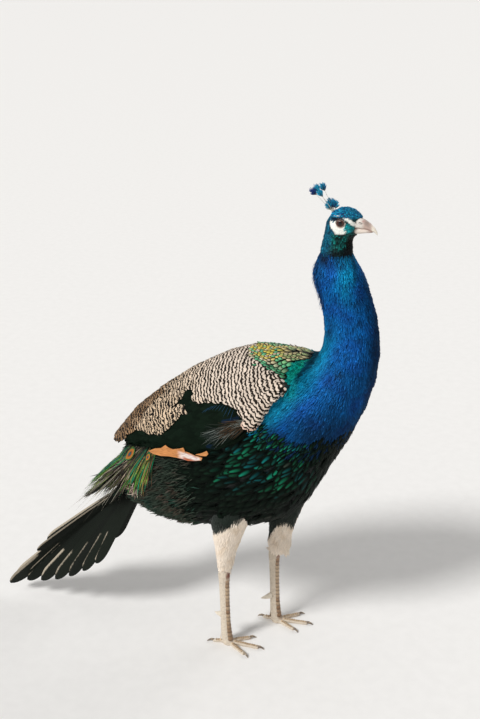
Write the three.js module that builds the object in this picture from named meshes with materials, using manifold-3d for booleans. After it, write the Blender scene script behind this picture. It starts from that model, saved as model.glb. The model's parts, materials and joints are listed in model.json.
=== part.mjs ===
// A life-size Indian peacock, standing alert, late in the moult when the long train has been dropped.
// Millimetres, +X forward, +Y to the bird's left, +Z up. The bird is shaped about the point on the floor
// midway between its feet, and the finished group is moved so that the origin is the bottom centre of its box.
import * as THREE from "three";
import { mergeVertices } from "three/addons/utils/BufferGeometryUtils.js";
import Module from "manifold-3d";

const wasm = await Module();
wasm.setup();

// ---- driving dimensions --------------------------------------------------------------------------

const GAP = 0.35; // clearance left between neighbouring pieces
const CUT = 0.5; // width of the thin cuts that part the body into its lengths
const BODY_SIDES = 20; // facets round the body
const LIMB_SIDES = 12; // facets round a leg or the bill
const STANCE_HALF = 47; // each foot's distance from the midline
const RIGHT_FOOT_X = -38; // the right foot is set back and the left one forward
const LEFT_FOOT_X = 38;
const HOCK_HEIGHT = 160; // of the joint where the bare shank meets the feathered thigh
const TAIL_PAIRS = 7; // of full-grown tail feathers, besides one short growing pair on top
const TAIL_LENGTH = 436; // of the middle pair, from root to tip
const TAIL_DROOP = 43.3; // of the middle pair below level, in degrees
const TAIL_FAN = 22; // between the middle and the outermost feather, in degrees
const TAIL_ROOF = 58; // slope of each side of the folded tail, in degrees
const EYE_RADIUS = 7.2;
const EYE = new THREE.Vector3(149, 14.8, 838); // the left one; the right one is its mirror image

// ---- solids ----------------------------------------------------------------------------------------

function solidOf(geometry) {
  const bare = geometry.clone();
  bare.deleteAttribute("normal");
  bare.deleteAttribute("uv");
  const merged = mergeVertices(bare, 1e-4);
  return new wasm.Manifold(
    new wasm.Mesh({
      numProp: 3,
      vertProperties: merged.attributes.position.array,
      triVerts: new Uint32Array(merged.index.array),
    }),
  );
}

function geometryOf(solid) {
  const mesh = solid.getMesh();
  const places = new Float32Array(mesh.numVert * 3);
  for (let i = 0; i < mesh.numVert; i++)
    places.set(mesh.vertProperties.subarray(i * mesh.numProp, i * mesh.numProp + 3), i * 3);
  const geometry = new THREE.BufferGeometry();
  geometry.setAttribute("position", new THREE.BufferAttribute(places, 3));
  geometry.setIndex(new THREE.BufferAttribute(new Uint32Array(mesh.triVerts), 1));
  geometry.computeVertexNormals();
  return geometry;
}

const joined = (solids) => solids.reduce((whole, next) => whole.add(next));

// The same geometry on the other side of the midline, with its faces turned back outwards.
function mirrored(geometry) {
  const other = geometry.clone().scale(1, -1, 1);
  const index = other.index.array;
  for (let i = 0; i < index.length; i += 3) [index[i + 1], index[i + 2]] = [index[i + 2], index[i + 1]];
  other.computeVertexNormals();
  return other;
}

// The largest of the bodies that a cut leaves, without the crumbs beside it.
function largest(solid) {
  return solid.decompose().reduce((best, next) => (next.volume() > best.volume() ? next : best));
}

// ---- lofts -----------------------------------------------------------------------------------------

// A section is an oval with a centre and two half axes, u and v.
const section = (centre, u, v) => ({ centre, u, v });
const point = (x, y, z) => new THREE.Vector3(x, y, z);

// A closed skin through the sections. grow swells it all over, to cut a neighbour clear of it, and power
// is the ovals' roundness, where 2 is an ellipse and more is squarer.
function loft(sections, { sides = LIMB_SIDES, grow = 0, power = 2 } = {}) {
  const rings = sections.map(({ centre, u, v }) => section(centre.clone(), u, v));
  const start = rings[0].centre.clone().sub(rings[1].centre).setLength(grow);
  const end = rings.at(-1).centre.clone().sub(rings.at(-2).centre).setLength(grow);
  rings[0].centre.add(start);
  rings.at(-1).centre.add(end);
  const places = [];
  for (const { centre, u, v } of rings) {
    const [a, b] = [u, v].map((axis) => axis.clone().setLength(axis.length() + grow));
    for (let i = 0; i < sides; i++) {
      const angle = (2 * Math.PI * i) / sides;
      const [c, s] = [Math.cos(angle), Math.sin(angle)].map((x) => Math.sign(x) * Math.abs(x) ** (2 / power));
      places.push(...centre.clone().addScaledVector(a, c).addScaledVector(b, s).toArray());
    }
  }
  places.push(...rings[0].centre.toArray(), ...rings.at(-1).centre.toArray());
  const faces = [];
  const at = (ring, side) => ring * sides + (side % sides);
  for (let ring = 0; ring + 1 < rings.length; ring++)
    for (let i = 0; i < sides; i++) {
      faces.push(at(ring, i), at(ring, i + 1), at(ring + 1, i));
      faces.push(at(ring + 1, i), at(ring, i + 1), at(ring + 1, i + 1));
    }
  const [firstCap, lastCap] = [rings.length * sides, rings.length * sides + 1];
  for (let i = 0; i < sides; i++) {
    faces.push(firstCap, at(0, i + 1), at(0, i));
    faces.push(lastCap, at(rings.length - 1, i), at(rings.length - 1, i + 1));
  }
  const geometry = new THREE.BufferGeometry();
  geometry.setAttribute("position", new THREE.Float32BufferAttribute(places, 3));
  geometry.setIndex(faces);
  const solid = solidOf(geometry);
  if (solid.volume() > 0) return solid;
  for (let i = 0; i < faces.length; i += 3) [faces[i + 1], faces[i + 2]] = [faces[i + 2], faces[i + 1]];
  geometry.setIndex(faces);
  return solidOf(geometry);
}

// ---- the body: rump, trunk, neck and head as one form ---------------------------------------------

// Each rib is a slice square to the midline: its upper end on the back, its lower end on the belly or
// breast, and the body's half width there. Along the neck they turn level, and over the head upright.
const rib = (backX, backZ, frontX, frontZ, half) =>
  section(
    point((backX + frontX) / 2, 0, (backZ + frontZ) / 2),
    point((backX - frontX) / 2, 0, (backZ - frontZ) / 2),
    point(0, half, 0),
  );

const BODY_RIBS = [
  rib(-262, 350, -252, 318, 18),
  rib(-236, 394, -220, 268, 54),
  rib(-184, 456, -168, 250, 80),
  rib(-116, 524, -110, 242, 97),
  rib(-50, 567, -46, 246, 107),
  rib(6, 593, 16, 258, 111),
  rib(48, 604, 72, 280, 109),
  rib(80, 604, 112, 325, 102),
  rib(101, 600, 146, 392, 92),
  rib(112, 600, 180, 455, 81),
  rib(118, 605, 205, 514, 70),
  rib(122, 614, 219, 566, 60),
  rib(125, 628, 223, 612, 52),
  rib(126, 648, 220, 648, 46),
  rib(123, 675, 214, 680, 42),
  rib(116, 704, 205, 708, 40),
  rib(106, 730, 196, 735, 39),
  rib(103, 752, 187, 755, 36),
  rib(109, 773, 175, 775, 28),
  rib(117, 792, 168, 790, 22.5),
  rib(120, 812, 168, 804, 20.5),
  rib(124, 836, 170, 811, 20),
  rib(134, 854, 173, 814, 19.5),
  rib(148, 861, 177, 816, 18),
  rib(160, 862, 174, 815, 15.5),
  rib(171, 859, 172.5, 822, 11),
  rib(179, 853, 174, 834, 7),
  rib(185, 846, 178, 842, 2.6),
];

const bodyForm = (grow = 0) => loft(BODY_RIBS, { sides: BODY_SIDES, grow, power: 2.1 });

// ---- thighs, cut clear of the body ----------------------------------------------------------------

// Level ovals from inside the body down to the hock, each with its height, forward place and half lengths.
function thighForm(side, hockX, levels, grow = 0) {
  const ovals = levels.map(([z, forward, outward, alongX, alongY]) =>
    section(point(hockX + forward, side * outward, z), point(alongX, 0, 0), point(0, alongY, 0)),
  );
  return loft(ovals, { grow });
}

// The left thigh's feathers hang looser over its hock than the right one's.
const RIGHT_THIGH = [
  [HOCK_HEIGHT + 4, -5, STANCE_HALF, 11, 10],
  [HOCK_HEIGHT + 16, -4, STANCE_HALF, 15, 13.5],
  [HOCK_HEIGHT + 36, -2, STANCE_HALF + 1, 18.5, 17],
  [HOCK_HEIGHT + 60, 0, STANCE_HALF + 3, 23, 21],
  [HOCK_HEIGHT + 90, 4, STANCE_HALF + 5, 30, 28],
  [HOCK_HEIGHT + 130, 10, STANCE_HALF + 4, 42, 38],
  [HOCK_HEIGHT + 180, 16, STANCE_HALF - 4, 50, 40],
];
const LEFT_THIGH = [
  [HOCK_HEIGHT, -3, STANCE_HALF, 12, 10.5],
  [HOCK_HEIGHT + 8, 3, STANCE_HALF, 20, 15],
  [HOCK_HEIGHT + 24, 4, STANCE_HALF + 1, 23.5, 18],
  [HOCK_HEIGHT + 50, 6, STANCE_HALF + 3, 24, 21],
  [HOCK_HEIGHT + 80, 10, STANCE_HALF + 5, 29, 27],
  [HOCK_HEIGHT + 130, 18, STANCE_HALF + 4, 40, 38],
  [HOCK_HEIGHT + 180, 22, STANCE_HALF - 4, 48, 40],
];

// ---- folded wings ----------------------------------------------------------------------------------

// The wings' outer surface as one form over the back, from the shoulders to the tips behind the rump.
const WING_RIBS = [
  rib(-284, 374, -266, 356, 10),
  rib(-262, 412, -238, 344, 44),
  rib(-224, 462, -196, 330, 76),
  rib(-174, 507, -150, 300, 98),
  rib(-114, 551, -105, 280, 112),
  rib(-50, 586, -45, 270, 121),
  rib(6, 605, 16, 275, 125),
  rib(50, 614, 75, 290, 122),
  rib(88, 614, 118, 340, 115),
  rib(112, 610, 150, 400, 105),
];

const wingForm = (inset) => loft(WING_RIBS, { sides: BODY_SIDES, grow: -inset, power: 2.1 });

// Outlines seen from the side, as X and Z. The barred coverts lie over the dark secondaries, and those
// over the rust-coloured tips of the primaries.
const COVERT_OUTLINE = [
  [84, 570], [70, 556], [50, 536], [42, 518], [34, 500], [21, 491], [8, 503], [11, 519], [-6, 532],
  [-46, 531], [-90, 521], [-98, 535], [-117, 520], [-107, 507], [-126, 477], [-148, 456], [-200, 454],
  [-234, 426], [-251, 402], [-300, 402], [-300, 700], [-14, 700], [-14, 602], [26, 595], [64, 581],
];
const SECONDARY_OUTLINE = [
  [24, 505], [14, 480], [-8, 462], [-30, 452], [-53, 447], [-74, 439], [-93, 437], [-99, 443],
  [-135, 442], [-161, 430], [-200, 419], [-228, 412], [-244, 436], [-200, 500], [-100, 560], [0, 560],
];
const PRIMARY_OUTLINE = [
  [-30, 480], [-42, 452], [-52, 441], [-66, 428], [-87, 421], [-113, 420], [-139, 418], [-163, 429], [-150, 470],
];

const MIDLINE_GAP = 1; // from the midline to the inner edge of each wing

// A straight block over an outline, from start outwards on the right side.
function sideBlock(outline, start) {
  const shape = new THREE.Shape(outline.map(([x, z]) => new THREE.Vector2(x, z)));
  const block = new THREE.ExtrudeGeometry(shape, { depth: 200, bevelEnabled: false, steps: 1 });
  return solidOf(block.rotateX(Math.PI / 2).translate(0, -start, 0));
}

// ---- tail ------------------------------------------------------------------------------------------

const TAIL_ROOT = point(-214, 0, 338);

// A long flat vane with a rounded tip, along X with its root at 0.
function vaneOutline(length, half) {
  const outline = new THREE.Shape();
  const tip = half * 1.7;
  outline.moveTo(0, -half * 0.4);
  outline.lineTo(length * 0.5, -half * 0.85);
  outline.lineTo(length - tip, -half);
  outline.absellipse(length - tip, 0, tip, half, -Math.PI / 2, Math.PI / 2);
  outline.lineTo(length * 0.5, half * 0.85);
  outline.lineTo(0, half * 0.4);
  return outline;
}

// One side of the folded tail is a stack of flat feathers fanned in the plane of a roof's side, each
// lower one under the last. Both sides meet along the ridge.
function tailForm() {
  const thick = 2.4;
  const droop = THREE.MathUtils.degToRad(TAIL_DROOP);
  const roof = THREE.MathUtils.degToRad(TAIL_ROOF);
  const along = point(-Math.cos(droop), 0, -Math.sin(droop));
  const plates = [];
  for (const side of [-1, 1]) {
    const down = point(-Math.sin(droop), 0, Math.cos(droop)).multiplyScalar(-Math.sin(roof));
    const across = down.add(point(0, side * Math.cos(roof), 0)).normalize();
    const face = along.clone().cross(across);
    const turn = new THREE.Matrix4().makeBasis(along, across, face).setPosition(TAIL_ROOT);
    for (let i = -1; i < TAIL_PAIRS; i++) {
      const place = Math.max(i, 0) / (TAIL_PAIRS - 1);
      const length = TAIL_LENGTH * (i < 0 ? 0.72 : 1 - 0.49 * place);
      const fan = THREE.MathUtils.degToRad(i < 0 ? -4.5 : TAIL_FAN * place ** 1.15);
      const shape = { depth: thick, bevelEnabled: false, steps: 1, curveSegments: 3 };
      const plate = new THREE.ExtrudeGeometry(vaneOutline(length, 16 - place), shape);
      plate.rotateZ(fan).translate(0, 9 + 4 * place, side * (i + 1) * (thick - 0.5));
      plates.push(solidOf(plate.applyMatrix4(turn)));
    }
  }
  return joined(plates);
}

// The short stumps of the train and the loose green coverts at its root, lying over the tail.
const tailCovertForm = (grow = 0) =>
  loft(
    [
      section(point(-196, 0, 374), point(12, 0, 34), point(0, 44, 0)),
      section(point(-232, 0, 355), point(14, 0, 35), point(0, 54, 0)),
      section(point(-275, 0, 321), point(14, 0, 30), point(0, 52, 0)),
      section(point(-315, 0, 283), point(11, 0, 20), point(0, 42, 0)),
      section(point(-347, 0, 253), point(4, 0, 7), point(0, 22, 0)),
    ],
    { sides: 14, grow },
  );

// ---- bill ------------------------------------------------------------------------------------------

const billOval = (x, z, high, half) => section(point(x, 0, z), point(0, 0, high), point(0, half, 0));

// The upper half hooks over the tip of the lower one. They part along the level of the gape.
const upperBillForm = (grow = 0) =>
  loft(
    [
      billOval(162, 835, 8, 7.5),
      billOval(171, 836, 9.6, 9),
      billOval(180, 836.2, 9.6, 8.2),
      billOval(189, 834, 7.8, 6.6),
      billOval(197, 830.4, 5.9, 5),
      billOval(204, 825.6, 4, 3.3),
      billOval(208, 820.6, 2.2, 1.7),
      billOval(208.8, 817.6, 0.6, 0.6),
    ],
    { grow },
  );

const lowerBillForm = (grow = 0) =>
  loft(
    [
      billOval(160, 823.4, 5, 7.5),
      billOval(171, 823.2, 5.2, 8.2),
      billOval(181, 823.4, 4.6, 6.6),
      billOval(191, 823.6, 3.4, 4.6),
      billOval(199.5, 823.4, 2, 2.6),
      billOval(203, 823.2, 0.7, 1),
    ],
    { grow },
  );

// ---- crest -----------------------------------------------------------------------------------------

// Each feather of the crest: how far its bare shaft leans back from upright, how far it leans out to the
// left, both in degrees, and its length.
const CREST_ROOT = point(134, 0, 853);
const CREST_FEATHERS = [
  [45, -4, 53], [37, 4, 54], [27, -2, 51], [33, -10, 46], [50, -9, 18],
  [30, -13, 21], [2, -9, 21], [-10, -1, 20], [6, 11, 22], [27, 14, 24],
];

function crestForm() {
  const pad = loft(
    [
      section(CREST_ROOT.clone().add(point(2, 0, -4)), point(5.5, 0, 0), point(0, 4.5, 0)),
      section(CREST_ROOT.clone().add(point(-0.5, 0, 4)), point(4.6, 0, 0), point(0, 4, 0)),
      section(CREST_ROOT.clone().add(point(-2, 0, 8)), point(2, 0, 0), point(0, 1.5, 0)),
    ],
    { sides: 10 },
  );
  const feathers = CREST_FEATHERS.map(([back, out, length]) => {
    const along = point(0, 0, 1)
      .applyAxisAngle(point(0, 1, 0), THREE.MathUtils.degToRad(-back))
      .applyAxisAngle(point(1, 0, 0), THREE.MathUtils.degToRad(-out));
    const across = point(0, 1, 0).cross(along).normalize();
    const side = along.clone().cross(across);
    const at = (share) => CREST_ROOT.clone().addScaledVector(along, share * length);
    const oval = (share, half, thick) =>
      section(at(share), across.clone().setLength(half), side.clone().setLength(thick));
    const fan = 1 - 11 / length; // where the shaft ends and the little fan opens
    return loft(
      [oval(0, 0.75, 0.75), oval(fan, 0.65, 0.6), oval(fan + 6 / length, 4, 1), oval(1, 4.4, 0.8),
        oval(1 + 2 / length, 2, 0.5)],
      { sides: 6 },
    );
  });
  return joined([pad, ...feathers]);
}

// ---- legs ------------------------------------------------------------------------------------------

const shankOval = (footX, side, x, z, alongX, alongY) =>
  section(point(footX + x, side * STANCE_HALF, z), point(alongX, 0, 0), point(0, alongY, 0));

// The bare shank, knobbed at the hock above and at the toes below.
const shankForm = (footX, side, grow = 0) =>
  loft(
    [
      shankOval(footX, side, -5, HOCK_HEIGHT + 3, 7.5, 6.5),
      shankOval(footX, side, -6, HOCK_HEIGHT - 7, 11.5, 9.5),
      shankOval(footX, side, -6, HOCK_HEIGHT - 24, 9.8, 7.2),
      shankOval(footX, side, -5, 96, 9.2, 6.2),
      shankOval(footX, side, -3.5, 50, 9.4, 6.4),
      shankOval(footX, side, -2, 24, 10.6, 8.4),
      shankOval(footX, side, 0, 10, 11, 9.6),
    ],
    { grow },
  );

// A spur on the inner back edge of the shank, a third of the way up, pointing back and a little down.
function spurForm(footX, side) {
  const root = point(footX - 9, side * (STANCE_HALF - 3), 62);
  const way = point(-0.85, -side * 0.42, -0.32).normalize();
  const [u, v] = [point(0, 0, 1), point(0, 1, 0)];
  const at = (along, half, dip) =>
    section(
      root.clone().addScaledVector(way, along).add(point(0, 0, dip)),
      u.clone().setLength(half),
      v.clone().setLength(half),
    );
  return loft([at(0, 5, 0), at(9, 3.6, 0), at(17, 2, 0.6), at(24, 0.5, 2.2)], { sides: 8 });
}

// Toes as heading in degrees from straight ahead, positive outwards, with length and thickness.
const TOES = [
  { name: "middle", heading: 3, reach: 62, thick: 5.2 },
  { name: "inner", heading: -30, reach: 46, thick: 4.8 },
  { name: "outer", heading: 36, reach: 50, thick: 4.8 },
  { name: "hind", heading: 172, reach: 29, thick: 4.5 },
];
const TOE_HEIGHT = 3.7; // of the toes' centre line at its root, so that their undersides are cut flat on the floor
const TOE_DIP = 1; // of that line towards the tip, so that the whole length of the thinner end bears too
const CLAW_LENGTH = 14;

function toeWay(side, heading) {
  const turn = THREE.MathUtils.degToRad(heading) * side;
  return { along: point(Math.cos(turn), Math.sin(turn), 0), across: point(-Math.sin(turn), Math.cos(turn), 0) };
}

// Pads swell along the toe, three on a front toe and one on the hind toe.
function toeForm(footX, side, { heading, reach, thick }) {
  const { along, across } = toeWay(side, heading);
  const root = point(footX + 1, side * STANCE_HALF, TOE_HEIGHT);
  const pads = reach > 40 ? 3 : 2;
  const stations = pads * 2 + 1;
  const ovals = Array.from({ length: stations }, (_, i) => {
    const share = i / (stations - 1);
    const swell = i % 2 ? 1 : 0.84;
    const half = thick * swell * (1 - 0.22 * share);
    const rise = share === 0 ? 3 : 0;
    return section(
      root.clone().addScaledVector(along, share * reach).add(point(0, 0, rise - share * TOE_DIP)),
      point(0, 0, half * 0.95 + rise * 0.5),
      across.clone().setLength(half),
    );
  });
  return loft(ovals, { sides: 7 });
}

function footForm(footX, side) {
  const pad = loft(
    [
      section(point(footX + 1, side * STANCE_HALF, 14), point(8, 0, 0), point(0, 8, 0)),
      section(point(footX + 2, side * STANCE_HALF, 7), point(11, 0, 0), point(0, 10.5, 0)),
      section(point(footX + 3, side * STANCE_HALF, -1), point(11.5, 0, 0), point(0, 10.5, 0)),
    ],
  );
  const whole = joined([pad, ...TOES.map((toe) => toeForm(footX, side, toe))]);
  return whole.trimByPlane([0, 0, 1], 0);
}

// A claw curves down from the end of its toe and bears on the floor with a small flat under its tip.
function clawForm(footX, side, { heading, reach, thick }) {
  const { along, across } = toeWay(side, heading);
  const root = point(footX + 1, side * STANCE_HALF, TOE_HEIGHT + 0.6).addScaledVector(along, reach - 2);
  const oval = (out, lift, half) =>
    section(
      root.clone().addScaledVector(along, out).add(point(0, 0, lift)),
      point(0, 0, half),
      across.clone().setLength(half * 0.8),
    );
  const wide = thick * 0.56;
  const whole = loft(
    [oval(0, 0, wide), oval(CLAW_LENGTH * 0.4, 0.8, wide * 0.85), oval(CLAW_LENGTH * 0.75, -1.2, wide * 0.6),
      oval(CLAW_LENGTH, -4, 0.5)],
    { sides: 6 },
  );
  return whole.trimByPlane([0, 0, 1], 0);
}

// ---- parting the body into named lengths ----------------------------------------------------------

// A cut's place and the way its plane faces, towards the head, all in the upright plane of the midline.
const BODY_CUTS = [
  { at: [-118, 380], facing: [1, 0.05] },
  { at: [160, 530], facing: [0.42, 0.9] },
  { at: [170, 640], facing: [0, 1] },
  { at: [158, 712], facing: [-0.15, 1] },
  { at: [143, 787], facing: [0.02, 1] },
];
const BODY_LENGTHS = ["rump", "trunk", "neck_lower", "neck_middle", "neck_upper", "head"];

function partedBody(whole) {
  const pieces = [];
  let rest = whole;
  for (const { at, facing } of BODY_CUTS) {
    const normal = point(facing[0], 0, facing[1]).normalize();
    const offset = normal.dot(point(at[0], 0, at[1]));
    const flipped = normal.clone().negate();
    pieces.push(largest(rest.trimByPlane(flipped.toArray(), -(offset - CUT / 2))));
    rest = largest(rest.trimByPlane(normal.toArray(), offset + CUT / 2));
  }
  pieces.push(rest);
  return pieces;
}

// ---- materials -------------------------------------------------------------------------------------

const finish = (color, roughness, metalness = 0) => new THREE.MeshStandardMaterial({ color, roughness, metalness });

const FINISH = {
  blue: finish(0x0f3f8f, 0.4, 0.3),
  teal: finish(0x0e6a80, 0.45, 0.3),
  belly: finish(0x13261f, 0.6, 0.1),
  rump: finish(0x1d2320, 0.7),
  barred: finish(0xa8917a, 0.8),
  dark: finish(0x10151a, 0.5),
  rust: finish(0xb5682e, 0.7),
  tail: finish(0x2a2622, 0.7),
  green: finish(0x1f6b3c, 0.5, 0.2),
  buff: finish(0xcdb79a, 0.85),
  leg: finish(0xbfa893, 0.6),
  claw: finish(0x6d5b4c, 0.4),
  bill: finish(0xc9b3a4, 0.45),
  eye: finish(0x1c0f0a, 0.1),
};

// ---- assembly --------------------------------------------------------------------------------------

const peacock = new THREE.Group();

function add(name, solid, material) {
  const piece = new THREE.Mesh(solid instanceof THREE.BufferGeometry ? solid : geometryOf(solid), material);
  piece.name = name;
  peacock.add(piece);
  return piece.geometry;
}

// The piece that is built on the right, and its mirror image on the left.
function addPair(name, solid, material) {
  const right = add(`right_${name}`, solid, material);
  add(`left_${name}`, mirrored(right), material);
}

function buildBody() {
  const eyes = [1, -1].map((side) => {
    const ball = new THREE.SphereGeometry(EYE_RADIUS + GAP, 10, 8);
    return solidOf(ball.translate(EYE.x, side * EYE.y, EYE.z));
  });
  const looks = [FINISH.rump, FINISH.belly, FINISH.blue, FINISH.blue, FINISH.blue, FINISH.teal];
  const bill = upperBillForm(GAP).add(lowerBillForm(GAP));
  const whole = bodyForm().subtract(joined([...eyes, bill]));
  partedBody(whole).forEach((piece, i) => add(BODY_LENGTHS[i], piece, looks[i]));
}

function buildHead(body) {
  for (const [name, side] of [["right_eye", -1], ["left_eye", 1]]) {
    const ball = new THREE.SphereGeometry(EYE_RADIUS, 10, 8).translate(EYE.x, side * EYE.y, EYE.z);
    add(name, solidOf(ball), FINISH.eye);
  }
  add("upper_bill", upperBillForm(), FINISH.bill);
  add("lower_bill", largest(lowerBillForm().subtract(upperBillForm(GAP))), FINISH.bill);
  add("crest", largest(crestForm().subtract(body)), FINISH.teal);
}

function buildWings(body) {
  const layer = (outline, outer, cleared) => {
    const shell = wingForm(outer).intersect(sideBlock(outline, MIDLINE_GAP));
    return largest(cleared.reduce((left, other) => left.subtract(other), shell.subtract(body)));
  };
  const inner = wingForm(13);
  const coverts = layer(COVERT_OUTLINE, 0, [inner]);
  addPair("wing_coverts", coverts, FINISH.barred);
  const overCoverts = sideBlock(COVERT_OUTLINE, 0);
  const secondaries = layer(SECONDARY_OUTLINE, 3.5, [overCoverts, inner]);
  addPair("wing_secondaries", secondaries, FINISH.dark);
  const overSecondaries = sideBlock(SECONDARY_OUTLINE, 0);
  addPair("wing_primaries", layer(PRIMARY_OUTLINE, 6.5, [overCoverts, overSecondaries, inner]), FINISH.rust);
}

function buildTail(body) {
  const cleared = body.add(wingForm(-GAP));
  add("tail_coverts", largest(tailCovertForm().subtract(cleared)), FINISH.green);
  add("tail", largest(tailForm().subtract(cleared).subtract(tailCovertForm(GAP))), FINISH.tail);
}

function buildLeg(name, side, footX, levels, body) {
  const shank = shankForm(footX, side);
  const grownShank = shankForm(footX, side, GAP);
  const foot = footForm(footX, side).subtract(grownShank);
  add(`${name}_thigh`, largest(thighForm(side, footX, levels).subtract(body).subtract(grownShank)), FINISH.buff);
  add(`${name}_shank`, shank, FINISH.leg);
  add(`${name}_spur`, largest(spurForm(footX, side).subtract(grownShank)), FINISH.claw);
  add(`${name}_foot`, largest(foot), FINISH.leg);
  for (const toe of TOES) {
    const grownToe = toeForm(footX, side, { ...toe, thick: toe.thick + GAP, reach: toe.reach + GAP });
    add(`${name}_${toe.name}_claw`, largest(clawForm(footX, side, toe).subtract(grownToe)), FINISH.claw);
  }
}

const grownBody = bodyForm(GAP);
buildBody();
buildHead(grownBody);
buildWings(grownBody);
buildTail(grownBody);
buildLeg("right", -1, RIGHT_FOOT_X, RIGHT_THIGH, grownBody);
buildLeg("left", 1, LEFT_FOOT_X, LEFT_THIGH, grownBody);

const box = new THREE.Box3().setFromObject(peacock);
const middle = box.getCenter(new THREE.Vector3());
peacock.position.set(-middle.x, -middle.y, -box.min.z);

export default peacock;
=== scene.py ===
import json
import math

import bmesh
import bpy
import numpy as np
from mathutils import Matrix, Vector, noise
from mathutils.bvhtree import BVHTree
from mathutils.geometry import delaunay_2d_cdt

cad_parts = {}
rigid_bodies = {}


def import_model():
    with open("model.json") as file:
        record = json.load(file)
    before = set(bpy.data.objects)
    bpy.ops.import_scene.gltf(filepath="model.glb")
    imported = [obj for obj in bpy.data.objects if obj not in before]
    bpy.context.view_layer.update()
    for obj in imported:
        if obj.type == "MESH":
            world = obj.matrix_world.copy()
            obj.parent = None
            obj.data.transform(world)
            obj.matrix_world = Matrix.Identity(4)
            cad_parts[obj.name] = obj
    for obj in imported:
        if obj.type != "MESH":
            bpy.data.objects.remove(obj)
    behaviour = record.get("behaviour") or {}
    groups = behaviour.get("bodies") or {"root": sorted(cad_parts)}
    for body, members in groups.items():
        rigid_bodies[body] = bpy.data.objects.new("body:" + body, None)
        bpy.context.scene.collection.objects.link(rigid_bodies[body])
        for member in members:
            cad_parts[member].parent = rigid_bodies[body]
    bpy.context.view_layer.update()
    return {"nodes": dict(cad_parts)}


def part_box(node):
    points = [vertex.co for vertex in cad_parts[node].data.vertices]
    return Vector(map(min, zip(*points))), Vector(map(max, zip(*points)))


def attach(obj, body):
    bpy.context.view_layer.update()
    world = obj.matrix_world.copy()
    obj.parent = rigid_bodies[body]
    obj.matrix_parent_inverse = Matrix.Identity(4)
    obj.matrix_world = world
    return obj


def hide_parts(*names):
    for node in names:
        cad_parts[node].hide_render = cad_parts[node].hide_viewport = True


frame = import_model()
scene = bpy.context.scene
scene.view_settings.view_transform = "Standard"

# ---- Studio ----------------------------------------------------------------------------------------
# A plain pale floor that runs out of sight, a broad soft lamp from the bird's right front, a weak one from
# behind on its other side, and even grey fill. The camera stands at the height of a grown person's chest.

camera = bpy.data.objects.new("Camera", bpy.data.cameras.new("Camera"))
camera.data.lens = 50
camera.data.sensor_width = 36
camera.location = (0.5586, -1.609, 1.215)
camera.rotation_euler = (math.radians(69), 0, math.radians(15))
scene.collection.objects.link(camera)
scene.camera = camera


def sun(name, comes_from, strength, softness):
    lamp = bpy.data.lights.new(name, "SUN")
    lamp.energy = strength
    lamp.angle = math.radians(softness)
    lamp_object = bpy.data.objects.new(name, lamp)
    lamp_object.rotation_euler = Vector(comes_from).to_track_quat("Z", "Y").to_euler()
    scene.collection.objects.link(lamp_object)


sun("Key lamp", (-0.55, -0.75, 0.85), 2.3, 14)
sun("Back lamp", (0.7, 0.9, 0.8), 0.6, 30)


def put(tree, kind, inputs=None, **settings):
    """Adds a node; inputs are values or other nodes' outputs, by name or number."""
    node = tree.nodes.new(kind)
    for key, value in settings.items():
        setattr(node, key, value)
    for key, value in (inputs or {}).items():
        if isinstance(value, bpy.types.NodeSocket):
            tree.links.new(value, node.inputs[key])
        else:
            node.inputs[key].default_value = value
    return node


def paint(colour):
    """A colour of six hexadecimal digits as the linear values that nodes take; anything else as given."""
    if not isinstance(colour, str):
        return colour
    parts = [int(colour[i : i + 2], 16) / 255 for i in (0, 2, 4)]
    return (*[c / 12.92 if c <= 0.04045 else ((c + 0.055) / 1.055) ** 2.4 for c in parts], 1.0)


world = bpy.data.worlds.new("Studio")
world.use_nodes = True
scene.world = world
sky = world.node_tree
sky.nodes.clear()
ray = put(sky, "ShaderNodeLightPath")
fill = put(sky, "ShaderNodeBackground", {"Color": (1, 1, 1, 1), "Strength": 0.42})
white = put(sky, "ShaderNodeBackground", {"Color": (1, 1, 1, 1), "Strength": 1.0})
seen = ray.outputs["Is Camera Ray"]
shown = put(sky, "ShaderNodeMixShader", {0: seen, 1: fill.outputs[0], 2: white.outputs[0]})
put(sky, "ShaderNodeOutputWorld", {0: shown.outputs[0]})


def new_finish(name, **sockets):
    """A material with its constant values on the shader's own sockets."""
    finish = bpy.data.materials.new(name)
    finish.use_nodes = True
    shader = finish.node_tree.nodes["Principled BSDF"]
    for socket, value in sockets.items():
        shader.inputs[socket.replace("_", " ")].default_value = value
    return finish, finish.node_tree, shader


def object_place(tree):
    return put(tree, "ShaderNodeTexCoord").outputs["Object"]


def noise_over(tree, scale, place=None, detail=2.0):
    """Smooth chance from 0 to 1 over the object's own coordinates, or over another place."""
    place = place or object_place(tree)
    return put(tree, "ShaderNodeTexNoise", {"Vector": place, "Scale": scale, "Detail": detail}).outputs[0]


def finish_with(tree, shader, colour, height=None, strength=0.4, distance=0.0003):
    """Joins a colour pattern to the shader, and the relief of a height pattern."""
    tree.links.new(colour, shader.inputs["Base Color"])
    if height is not None:
        bump = put(tree, "ShaderNodeBump", {"Strength": strength, "Distance": distance, "Height": height})
        tree.links.new(bump.outputs[0], shader.inputs["Normal"])


def ramp(tree, factor, stops):
    """Colours at places from 0 to 1."""
    node = put(tree, "ShaderNodeValToRGB", {0: factor})
    elements = node.color_ramp.elements
    while len(elements) < len(stops):
        elements.new(0.5)
    for element, (place, colour) in zip(elements, stops):
        element.position = place
        element.color = paint(colour)
    return node.outputs[0]


def mesh_object(name, mesh):
    made = bpy.data.objects.new(name, mesh)
    scene.collection.objects.link(made)
    return made


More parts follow.
